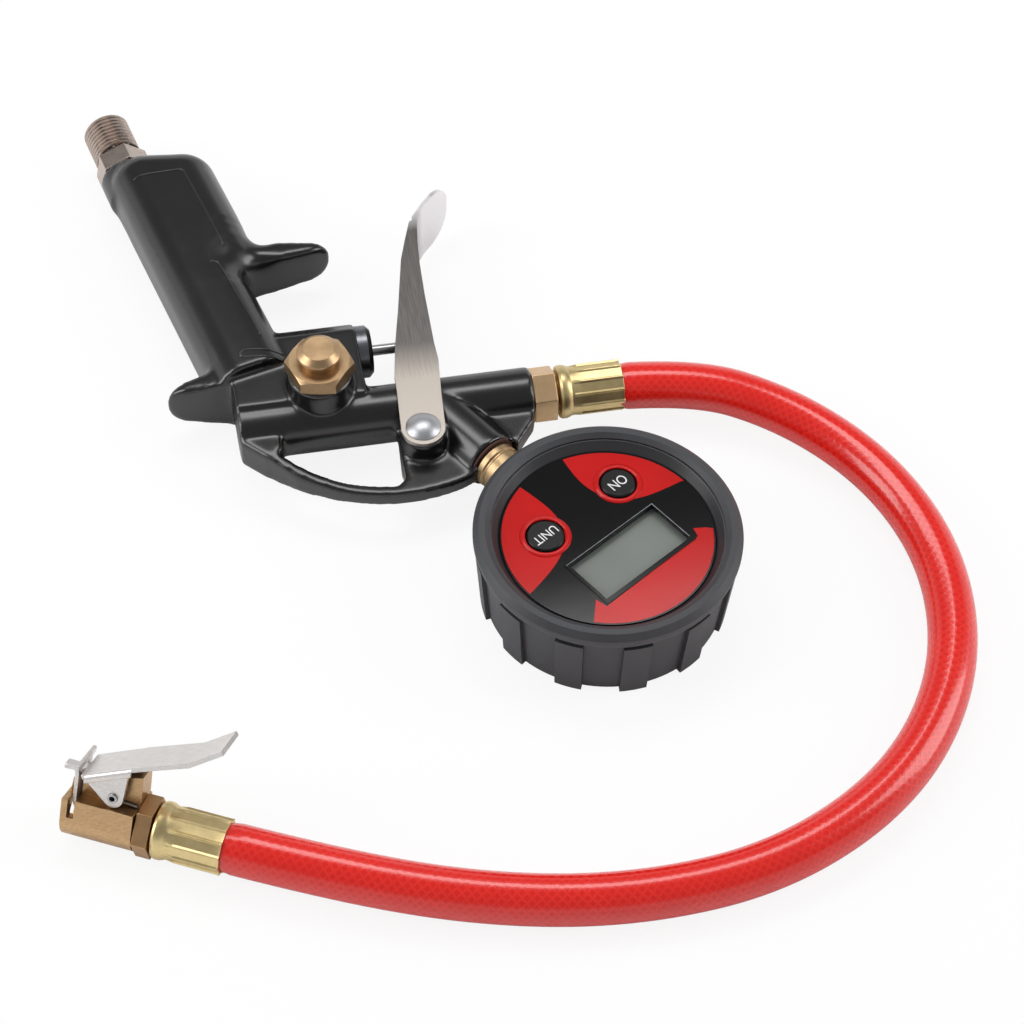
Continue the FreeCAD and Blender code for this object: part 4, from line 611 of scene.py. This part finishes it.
# Hose: 13 mm PVC tube with a braided yarn under its clear red skin, about 0.4 m long,
# bent round by hand and lying on the table. Each end is crimped under a brass ferrule.
hose_radius = 6.5 * mm
hose_crimped_radius = 6.1 * mm
hose_crimped_length = 16.9 * mm
hose_bulge_run = 1.2 * mm
hose_sides = 56
hose_route = [Vector(point) * mm for point in (
    (-0.9, 58.9, 12.5), (33.0, 58.9, 12.5), (62.0, 45.2, 8.4), (82.8, 19.3, 6.6),
    (90.3, -13.2, 6.6), (83.3, -47.0, 6.6), (61.5, -76.0, 6.6), (27.0, -94.2, 6.6),
    (-11.0, -97.8, 6.6), (-49.0, -91.5, 6.7), (-88.83, -76.94, 8.0), (-123.34, -59.63, 8.0))]


def hose_radius_at(distance, total):
    """The hose's radius, pinched where the ferrules grip it."""
    free = min(distance, total - distance) - hose_crimped_length
    share = min(max(free / hose_bulge_run, 0), 1)
    return hose_crimped_radius + (hose_radius - hose_crimped_radius) * math.sin(share * math.pi / 2)


# Plasticised PVC, extruded: smooth and wet-looking, red all through, over a braid of
# yarns 2.4 mm apart along the hose, which shows as paler crossing lines and lifts the
# skin by a few hundredths of a millimetre.
yarn_spacing = 2.4 * mm
yarns_round_hose = 16
hose_vinyl, vinyl, vinyl_shader = new_material(
    "clear_red_pvc", "#dc1a12", 0.22, IOR=1.53, Coat_Weight=0.4, Coat_Roughness=0.08,
    Subsurface_Weight=0.25, Subsurface_Radius=(0.004, 0.0012, 0.0008), Subsurface_Scale=1.0)
hose_map = add_node(vinyl, "UVMap", uv_map="along_hose")
yarns = []
for hand in (1, -1):
    waves = (math.tau / yarn_spacing, math.tau * yarns_round_hose * hand, 0)
    phase = add_node(vinyl, "VectorMath", {0: hose_map.outputs[0], 1: waves}, operation="DOT_PRODUCT")
    wave = add_node(vinyl, "Math", {0: phase.outputs["Value"]}, operation="SINE")
    yarns.append(add_node(vinyl, "MapRange", {"Value": wave.outputs[0], "From Min": 0.1,
                                              "From Max": 0.9}))
braid = add_node(vinyl, "Math", {0: yarns[0].outputs[0], 1: yarns[1].outputs[0]}, operation="MAXIMUM")
mottle = add_node(vinyl, "TexNoise", {"Vector": add_node(vinyl, "TexCoord").outputs["Object"],
                                      "Scale": 1 / (9 * mm), "Detail": 3.0})
vinyl_tone = add_node(vinyl, "Math", {0: braid.outputs[0], 1: mottle.outputs["Fac"]},
                      operation="MULTIPLY")
vinyl_colour = add_node(vinyl, "Mix", {"Factor": vinyl_tone.outputs[0], "A": linear("#d8180f"),
                                       "B": linear("#ee2c20")}, data_type="RGBA")
vinyl.links.new(vinyl_colour.outputs["Result"], vinyl_shader.inputs["Base Color"])
vinyl_bump = add_node(vinyl, "Bump", {"Height": braid.outputs[0], "Strength": 0.2, "Distance": 0.08 * mm})
vinyl.links.new(vinyl_bump.outputs[0], vinyl_shader.inputs["Normal"])

hose_line = spline_points(hose_route, resolution=24)
hose = new_piece(tube_along(hose_line, hose_radius_at, hose_sides), "hose_tube", hose_vinyl,
                 "hose_vinyl", "gun", "hose")

# Hose fittings: a brass hexagon nipple in the barrel's end and another in the chuck, and
# over each a drawn brass ferrule whose skirt is crimped by twelve jaws, which leave a
# low rib between each two.
barrel_axis = Vector((-9.0, 58.9, 12.5)) * mm
chuck_seat = Vector((-122.8, -59.9, 8.0)) * mm
chuck_turn = math.radians(-26.64)
chuck_along = Vector((math.cos(chuck_turn), math.sin(chuck_turn), 0))
# The ferrule's wall, half in section: radius and height in millimetres. Its skirt runs
# from the eighth point to the ninth, and the jaws' grip deepens over the first of it.
ferrule_profile = (
    (3.6, 0.0), (6.3, 0.0), (7.1, 0.35), (7.4, 1.0), (7.4, 2.1), (7.15, 2.9), (6.85, 3.5),
    (6.8, 4.2), (6.8, 17.4), (6.9, 17.85), (6.75, 18.0), (6.2, 18.0), (6.15, 17.0), (6.15, 1.2),
    (3.6, 1.2))
skirt_edge, skirt_cuts = 7, 6
skirt_inside = 6.5 * mm
ferrule_segments = 240
crimp_start, crimp_run = 4.2 * mm, 1.0 * mm
crimp_jaws = 12
crimp_depth = 0.25 * mm
crimp_rib_height = 0.35 * mm
crimp_rib_half_width = 0.12
crimp_rib_side = 0.04
crimp_edge_angle = math.radians(18)
ferrule_at_gun, ferrule_at_chuck = 7.0 * mm, -1.7 * mm
hose_brass = turned_brass("turned_brass_outlet", "#cba981", "#e6c59a", tuple(barrel_axis), (1, 0, 0))
machined_piece("outlet_fitting", 0.3 * mm, "outlet_nipple", hose_brass, "brass")

# Yellow brass, drawn into a cup and crimped: smoother and yellower than turned brass,
# with soft cloudy marks where the jaws rubbed it.
ferrule_brass, skirt, skirt_shader = new_material("drawn_yellow_brass", "#b9a468", 0.36, Metallic=1.0)
uneven_surface(skirt, skirt_shader, 2.2 * mm, 6.0, 0.65, tones=("#c6b07a", "#eedaa6"),
               relief=(0.25, 0.05 * mm))


def crimped_ferrule(name, node, place, first_rib):
    """A ferrule spun from its profile, with the ribs that the crimping jaws leave."""
    shape = bmesh.new()
    verts = [shape.verts.new((radius * mm, 0, height * mm)) for radius, height in ferrule_profile]
    edges = [shape.edges.new(pair) for pair in zip(verts, verts[1:] + verts[:1])]
    bmesh.ops.subdivide_edges(shape, edges=[edges[skirt_edge]], cuts=skirt_cuts)
    bmesh.ops.spin(shape, geom=shape.verts[:] + shape.edges[:], cent=(0, 0, 0), axis=(0, 0, 1),
                   angle=math.tau, steps=ferrule_segments, use_merge=True)
    for vert in shape.verts:
        radius = math.hypot(vert.co.x, vert.co.y)
        crimped = min(max((vert.co.z - crimp_start) / crimp_run, 0), 1)
        if radius < skirt_inside or not crimped:
            continue
        share = (math.atan2(vert.co.y, vert.co.x) / math.tau * crimp_jaws + first_rib) % 1
        rib = min(max((crimp_rib_half_width - min(share, 1 - share)) / crimp_rib_side, 0), 1)
        flat_radius = (radius - crimp_depth) / math.cos((share - 0.5) * math.tau / crimp_jaws)
        new_radius = radius + crimped * (flat_radius + crimp_rib_height * rib - radius)
        vert.co.x *= new_radius / radius
        vert.co.y *= new_radius / radius
    bmesh.ops.recalc_face_normals(shape, faces=shape.faces)
    bmesh.ops.transform(shape, matrix=place, verts=shape.verts)
    ferrule = new_piece(shape, name, ferrule_brass, "ferrule_brass", "gun", node)
    ferrule.data.set_sharp_from_angle(angle=crimp_edge_angle)
    return ferrule


barrel_along = Vector((1, 0, 0))
crimped_ferrule("gun_hose_ferrule", "ferrule_gun",
                along(barrel_axis + barrel_along * ferrule_at_gun, barrel_along), first_rib=0.3)
chuck_ferrule = crimped_ferrule("chuck_hose_ferrule", "ferrule_chuck",
                                along(chuck_seat + chuck_along * ferrule_at_chuck, chuck_along),
                                first_rib=0.1)

# Gauge stem: a turned brass tube with a ringed collar, screwed into the gun's port, with
# its washer, the nut that holds it in the case, and the pressure sensor at its end.
stem_turn = math.radians(122)
stem_direction = (math.cos(stem_turn), math.sin(stem_turn), 0)
stem_brass = turned_brass("turned_brass_stem", "#a98d68", "#c9af88", (0, 0, 12.5 * mm), stem_direction)
machined_piece("gauge_stem", 0.12 * mm, "gauge_stem_collar", stem_brass, "brass")
finish_node("stem_nut", stem_brass)
finish_node("pressure_sensor", steel)

# Gauge boot: a moulded rubber cup with a rolled lip and twelve grip blocks round it. It
# is stretched over the case.
boot_edge = 0.4 * mm
# Boot rubber, moulded in a spark-eroded tool: dark grey and dull, finely grained, with a
# paler bloom in patches where it has been handled.
boot_rubber, cup, cup_shader = new_material("moulded_boot_rubber", "#323337", 0.5)
uneven_surface(cup, cup_shader, 11 * mm, 6.0, 0.65, tones=("#2d2e32", "#404145"), gloss=(0.38, 0.6))
uneven_surface(cup, cup_shader, 0.5 * mm, 3.0, relief=(0.18, 0.05 * mm))
machined_piece("gauge_boot", boot_edge, "gauge_rubber_boot", boot_rubber, "boot_rubber")

# Gauge case and what is in it: a moulded shell with a screwed back cover, the board with
# its two switches, and a coin cell in its holder.
case_edge = 0.2 * mm
track_spacing = 4 * mm
# ABS, moulded: nearly black and half glossy, with a faint grain.
case_plastic, shell, shell_shader = new_material("moulded_abs", "#232427", 0.35)
uneven_surface(shell, shell_shader, 0.6 * mm, relief=(0.1, 0.03 * mm))
# Solder mask on a glass-fibre board, screen printed: green and glossy, paler over the
# tracks below it.
circuit_board, mask, mask_shader = new_material("green_solder_mask", "#1b6b3a", 0.35)
mask_tracks = add_node(mask, "TexBrick", {"Vector": add_node(mask, "TexCoord").outputs["Object"],
                                          "Scale": 1 / track_spacing, "Mortar Size": 0.04,
                                          "Color1": linear("#1b6b3a"), "Color2": linear("#1f7340"),
                                          "Mortar": linear("#2f8a52")})
mask.links.new(mask_tracks.outputs["Color"], mask_shader.inputs["Base Color"])
# Nickel-plated steel of the cell's can, deep drawn: a bright, even mirror.
battery_steel, cell, cell_shader = new_material("plated_cell_can", "#c4c5c7", 0.2, Metallic=1.0)
uneven_surface(cell, cell_shader, 0.8 * mm, gloss=(0.15, 0.28))
machined_piece("gauge_case", case_edge, "gauge_case_shell", case_plastic, "case_plastic")
for node in ("gauge_back_cover", "tact_switches", "battery_holder"):
    finish_node(node, case_plastic)
finish_node("gauge_pcb", circuit_board)
finish_node("battery", battery_steel)
finish_node("back_cover_screws", steel)

# Gauge face: a printed film stuck on the case, gloss black with three red fields, with an
# opening for the display and one for each key. The film is embossed in a ring round
# each key, and a raised frame borders the display, with a thin grey strip along its top and right edges
# that is a painted highlight of the window frame's bevel.
label_top = 23.4 * mm
label_radius = 27.7 * mm
film_thickness = 0.04 * mm
film_height = label_top + film_thickness / 2
film_edge_angle = math.radians(40)
on_key, on_key_radius = Vector((6.1, 16.6)) * mm, 4.75 * mm
unit_key, unit_key_radius = Vector((-16.0, 2.6)) * mm, 5.0 * mm
key_gap = 0.3 * mm
# The red fields' inner edges, and the display's borders about its middle, in millimetres.
on_field = ((-6.7, 26.7), (-4.7, 20.5), (-1.6, 15.6), (3.2, 11.6), (8.6, 10.6), (16.2, 12.0),
            (24.5, 15.4))
unit_field = ((-22.7, -14.4), (-16.4, -8.7), (-12.1, -2.6), (-10.6, 2.4), (-11.6, 8.2), (-14.8, 13.8),
              (-19.4, 19.4))
lower_field = ((27.7, -1.9), (25.6, -1.3), (22.5, -1.1), (23.2, -3.8), (-4.7, -21.9), (-7.0, -19.3),
               (-9.0, -26.4))
display_centre, display_turn = Vector((4.75, -6.0)) * mm, math.radians(32)
display_outside = ((-15.9, -8.2), (15.9, -8.2), (15.9, 8.2), (-15.9, 8.2))
display_inside = ((-14.9, -6.9), (14.6, -6.9), (14.6, 7.3), (-14.9, 7.3))
# The grey strip along the display's top and right edges: a painted highlight of the window frame's bevel.
bevel_highlight_outline = ((-15.6, 7.75), (-15.6, 7.55), (14.9, 7.55), (14.9, -6.6), (15.15, -6.6), (15.15, 7.75))
frame_rise, bevel_highlight_rise = 0.2 * mm, 0.24 * mm
# The embossed ring in section: out from the key's edge, and up.
ring_outline = ((0.3, 0.0), (0.45, 0.24), (0.8, 0.36), (1.2, 0.3), (1.6, 0.12), (1.9, 0.0))
ring_sink = film_thickness * 0.6

# Polyester film, printed on its back: black and red under one clear gloss, which waves a
# little over the glue and so bends the highlights.
label_film, gloss_film, gloss_shader = new_material("gloss_black_film", "#0b0b0c", 0.1,
                                                    Specular_IOR_Level=0.3)
red_film, red_print, red_shader = new_material("gloss_red_film", "#c81c1c", 0.12,
                                               Specular_IOR_Level=0.25)
for tree, shader in ((gloss_film, gloss_shader), (red_print, red_shader)):
    uneven_surface(tree, shader, 7 * mm, 1.0, relief=(0.08, 0.1 * mm))
uneven_surface(red_print, red_shader, 16 * mm, 1.0, tones=("#b61716", "#c41d1c"))
# Painted highlight of the window frame's bevel along the display's top and right edges: a grey strip,
# dull and a little patchy.
painted_bevel_highlight, bevel_highlight_tree, bevel_highlight_shader = new_material("grey_painted_bevel_highlight", "#63656a", 0.3)
uneven_surface(bevel_highlight_tree, bevel_highlight_shader, 3 * mm, tones=("#3c3d40", "#85878c"))


def flat_film(outlines, height):
    """A thin flat shape inside the first outline and outside the rest."""
    curve = bpy.data.curves.new("film", "CURVE")
    curve.dimensions = "2D"
    curve.fill_mode = "BOTH"
    curve.extrude = film_thickness / 2
    for outline in outlines:
        spline = curve.splines.new("POLY")
        spline.points.add(len(outline) - 1)
        for point, place in zip(spline.points, outline):
            point.co = (place[0], place[1], 0, 1)
        spline.use_cyclic_u = True
    carrier = bpy.data.objects.new("film", curve)
    flat = bpy.data.meshes.new_from_object(carrier)
    shape = bmesh.new()
    shape.from_mesh(flat)
    bpy.data.objects.remove(carrier)
    bmesh.ops.remove_doubles(shape, verts=shape.verts, dist=0.002 * mm)
    bmesh.ops.translate(shape, vec=(0, 0, height), verts=shape.verts)
    bmesh.ops.recalc_face_normals(shape, faces=shape.faces)
    return shape


def arc_of_points(centre, radius, start, sweep, steps):
    """Points along an arc, from one step to the last."""
    angles = [start + sweep * step / steps for step in range(steps + 1)]
    return [Vector((centre[0] + radius * math.cos(angle), centre[1] + radius * math.sin(angle), 0))
            for angle in angles]


def out_to_rim(inner_edge):
    """An outline from an inner edge out to the label's rim and back along it."""
    first, last = inner_edge[0], inner_edge[-1]
    start = math.atan2(last[1], last[0])
    sweep = (math.atan2(first[1], first[0]) - start + math.pi) % math.tau - math.pi
    return ([point for point in inner_edge if point.length < label_radius]
            + arc_of_points((0, 0), label_radius, start, sweep, steps=40))


on_edge = spline_points([Vector((*point, 0)) * mm for point in on_field], resolution=12)
unit_edge = spline_points([Vector((*point, 0)) * mm for point in unit_field], resolution=12)
lower_edge = [Vector((*point, 0)) * mm for point in lower_field]
machined_piece("face_label", 0.08 * mm, "gauge_face_film", label_film, "label_film")
for name, edge, hole in (("red_field_on", on_edge, (on_key, on_key_radius)),
                         ("red_field_unit", unit_edge, (unit_key, unit_key_radius)),
                         ("red_field_lower", lower_edge, None)):
    outlines = [out_to_rim(edge)]
    if hole:
        outlines.append(arc_of_points(hole[0], hole[1] + key_gap, 0, math.tau, steps=64)[:-1])
    field = new_piece(flat_film(outlines, film_height), name, red_film, "label_film", "gun")
    field.data.set_sharp_from_angle(angle=film_edge_angle)

frame_place = Matrix.Translation((*display_centre, 0)) @ Matrix.Rotation(display_turn, 4, "Z")
for name, outlines, material, rise in (
        ("display_frame", (display_outside, display_inside), label_film, frame_rise),
        ("display_bevel_highlight", (bevel_highlight_outline,), painted_bevel_highlight, bevel_highlight_rise)):
    outlines = [[frame_place @ (Vector((*corner, 0)) * mm) for corner in outline]
                for outline in outlines]
    border = new_piece(flat_film(outlines, label_top + rise), name, material, "label_film", "gun")
    border.data.set_sharp_from_angle(angle=film_edge_angle)

for name, centre, radius in (("on_ring", on_key, on_key_radius),
                             ("unit_ring", unit_key, unit_key_radius)):
    ring = bmesh.new()
    verts = [ring.verts.new((radius + out * mm, 0, rise * mm)) for out, rise in ring_outline]
    edges = [ring.edges.new(pair) for pair in zip(verts, verts[1:] + verts[:1])]
    bmesh.ops.spin(ring, geom=verts + edges, cent=(0, 0, 0), axis=(0, 0, 1), angle=math.tau, steps=96,
                   use_merge=True)
    bmesh.ops.recalc_face_normals(ring, faces=ring.faces)
    bmesh.ops.translate(ring, vec=(centre.x, centre.y, label_top + ring_sink), verts=ring.verts)
    new_piece(ring, name, red_film, "label_film", "gun")

# Keys: two silicone rubber keys that stand a little proud of the film, each with its
# plain name printed in white, which reads from the gauge's far side.
key_top = 23.9 * mm
print_thickness = 0.03 * mm
reading_angle = math.radians(212)
key_edge = 0.12 * mm
# Silicone rubber, moulded: black, with a soft shine from a faintly grained tool.
key_rubber, silicone, silicone_shader = new_material("black_silicone", "#0b0b0c", 0.3,
                                                     Specular_IOR_Level=0.25)
uneven_surface(silicone, silicone_shader, 0.4 * mm, relief=(0.1, 0.02 * mm))
# White pad-printed ink: matt and not quite even.
white_ink, ink, ink_shader = new_material("white_pad_print", "#e4e4e6", 0.5)
uneven_surface(ink, ink_shader, 0.5 * mm, 3.0, tones=("#cfcfd2", "#f4f4f6"))

machined_piece("on_button", key_edge, "on_key_cap", key_rubber, "key_rubber", "on_key")
machined_piece("unit_button", key_edge, "unit_key_cap", key_rubber, "key_rubber", "unit_key")
for word, centre, size, body in (("ON", on_key, (5.2, 3.0), "on_key"),
                                 ("UNIT", unit_key, (7.4, 2.6), "unit_key")):
    letters = bpy.data.curves.new("letters", "FONT")
    letters.body = word
    letters.extrude = 0.01
    letters.align_x, letters.align_y = "CENTER", "CENTER"
    carrier = bpy.data.objects.new("letters", letters)
    flat = bpy.data.meshes.new_from_object(carrier)
    shape = bmesh.new()
    shape.from_mesh(flat)
    bpy.data.objects.remove(carrier)
    bmesh.ops.remove_doubles(shape, verts=shape.verts, dist=0.0001)
    low = [min(vert.co[axis] for vert in shape.verts) for axis in range(3)]
    high = [max(vert.co[axis] for vert in shape.verts) for axis in range(3)]
    middle = Vector([(a + b) / 2 for a, b in zip(low, high)])
    fit = (size[0] * mm / (high[0] - low[0]), size[1] * mm / (high[1] - low[1]),
           print_thickness / (high[2] - low[2]))
    place = (Matrix.Translation((centre.x, centre.y, key_top + print_thickness / 2))
             @ Matrix.Rotation(reading_angle, 4, "Z") @ Matrix.Diagonal((*fit, 1))
             @ Matrix.Translation(-middle))
    bmesh.ops.transform(shape, matrix=place, verts=shape.verts)
    bmesh.ops.recalc_face_normals(shape, faces=shape.faces)
    lettering = new_piece(shape, word.lower() + "_letters", white_ink, "key_rubber", body)
    lettering.data.set_sharp_from_angle(angle=film_edge_angle)

# Display: a blank liquid crystal cell held in the case, behind a clear window that
# fills the label's opening.
window_gloss = (0.03, 0.09)
# Acrylic sheet, cast and polished: clear, with a faint smoky tint and a sharp gloss.
window_plastic, acrylic, acrylic_shader = new_material("clear_acrylic", "#2c2f2e", 0.05, IOR=1.49,
                                                       Alpha=0.08)
uneven_surface(acrylic, acrylic_shader, 5 * mm, gloss=window_gloss)
# Display glass over a reflector, with no segment lit: an even grey-green.
lcd_glass, cell_glass, cell_glass_shader = new_material("display_cell", "#7f867f", 0.3, IOR=1.5)
uneven_surface(cell_glass, cell_glass_shader, 18 * mm, 1.0, tones=("#7a817b", "#888f88"))
finish_node("display_window", window_plastic)
finish_node("lcd", lcd_glass)

# Clip-on chuck: a milled brass body with a slot for the sliding steel jaw, a hexagon
# fitting behind it, and a folded steel lever that turns on a hollow pin and lifts the jaw.
chuck_roll = math.radians(-29.0)
chuck_place = (Matrix.Translation(chuck_seat) @ Matrix.Rotation(chuck_turn, 4, "Z")
               @ Matrix.Rotation(chuck_roll, 4, "X"))
# The lever's ears are folded down from its plate. The rolled edge of the fold runs along
# each ear: its start and run in the chuck's own X and Z, and its section out and down.
lever_half_width = 5.7
fold_start, fold_run = (-20.1, 12.6), (11.6, 5.05)
fold_outline = ((-0.2, 0.3), (0.12, 0.1), (0.36, -0.3), (0.46, -0.8), (0.4, -1.35), (0.2, -1.85),
                (-0.2, -2.3))
# Milled brass: warm brown gold and satin, with fine cutter marks along the body.
# Nickel-plated steel sheet: pale and satin, with the mill's grain along the lever.
# Both grains are drawn coarser than the real ones, so that they show.
chuck_brass, milled, milled_shader = new_material("milled_brass", "#c39a70", 0.32, Metallic=1.0)
chuck_steel, pressed, pressed_shader = new_material("plated_lever_steel", "#bdb8b5", 0.4, Metallic=1.0)
for tree, shader, mark, detail, tones, relief in (
        (milled, milled_shader, (9, 0.5, 0.5), 5.0, ("#a5855f", "#dab68c"), (0.2, 0.04 * mm)),
        (pressed, pressed_shader, (4, 0.35, 0.35), 4.0, ("#c6c1be", "#efecea"), (0.15, 0.03 * mm))):
    marks = add_node(tree, "Mapping", {"Vector": add_node(tree, "TexCoord").outputs["Object"],
                                       "Rotation": (0, 0, -chuck_turn),
                                       "Scale": tuple(1 / (length * mm) for length in mark)})
    uneven_surface(tree, shader, 1.0, detail, place=marks.outputs[0], tones=tones, relief=relief)
chuck_hex_brass = turned_brass("turned_brass_chuck", "#a9835c", "#cda67c", tuple(chuck_seat),
                               tuple(chuck_along))

chuck_block = machined_piece("chuck_body", 0.2 * mm, "chuck_brass_body", chuck_brass, "brass")
chuck_hexagon = machined_piece("chuck_fitting", 0.25 * mm, "chuck_hex_fitting", chuck_hex_brass, "brass")
chuck_lever = machined_piece("chuck_lever", 0.2 * mm, "chuck_thumb_lever", chuck_steel, "chuck_steel",
                             "clip_lever")
chuck_jaw = machined_piece("chuck_jaw", 0.15 * mm, "chuck_sliding_jaw", chuck_steel, "chuck_steel", "jaw")
chuck_pin = machined_piece("chuck_pivot_pin", 0.1 * mm, "chuck_hollow_pin", steel, "steel")
finish_node("chuck_depressor", chuck_brass)
for name, side in (("near_ear_fold", -1), ("far_ear_fold", 1)):
    fold = bmesh.new()
    section = [Vector((fold_start[0], side * (lever_half_width + out), fold_start[1] + down)) * mm
               for out, down in fold_outline]
    rolled = fold.faces.new([fold.verts.new(corner) for corner in section])
    made = bmesh.ops.extrude_face_region(fold, geom=[rolled])["geom"]
    bmesh.ops.translate(fold, vec=Vector((fold_run[0], 0, fold_run[1])) * mm,
                        verts=[item for item in made if isinstance(item, bmesh.types.BMVert)])
    bmesh.ops.recalc_face_normals(fold, faces=fold.faces)
    bmesh.ops.transform(fold, matrix=chuck_place, verts=fold.verts)
    even_shading(new_piece(fold, name, chuck_steel, "chuck_steel", "clip_lever"))
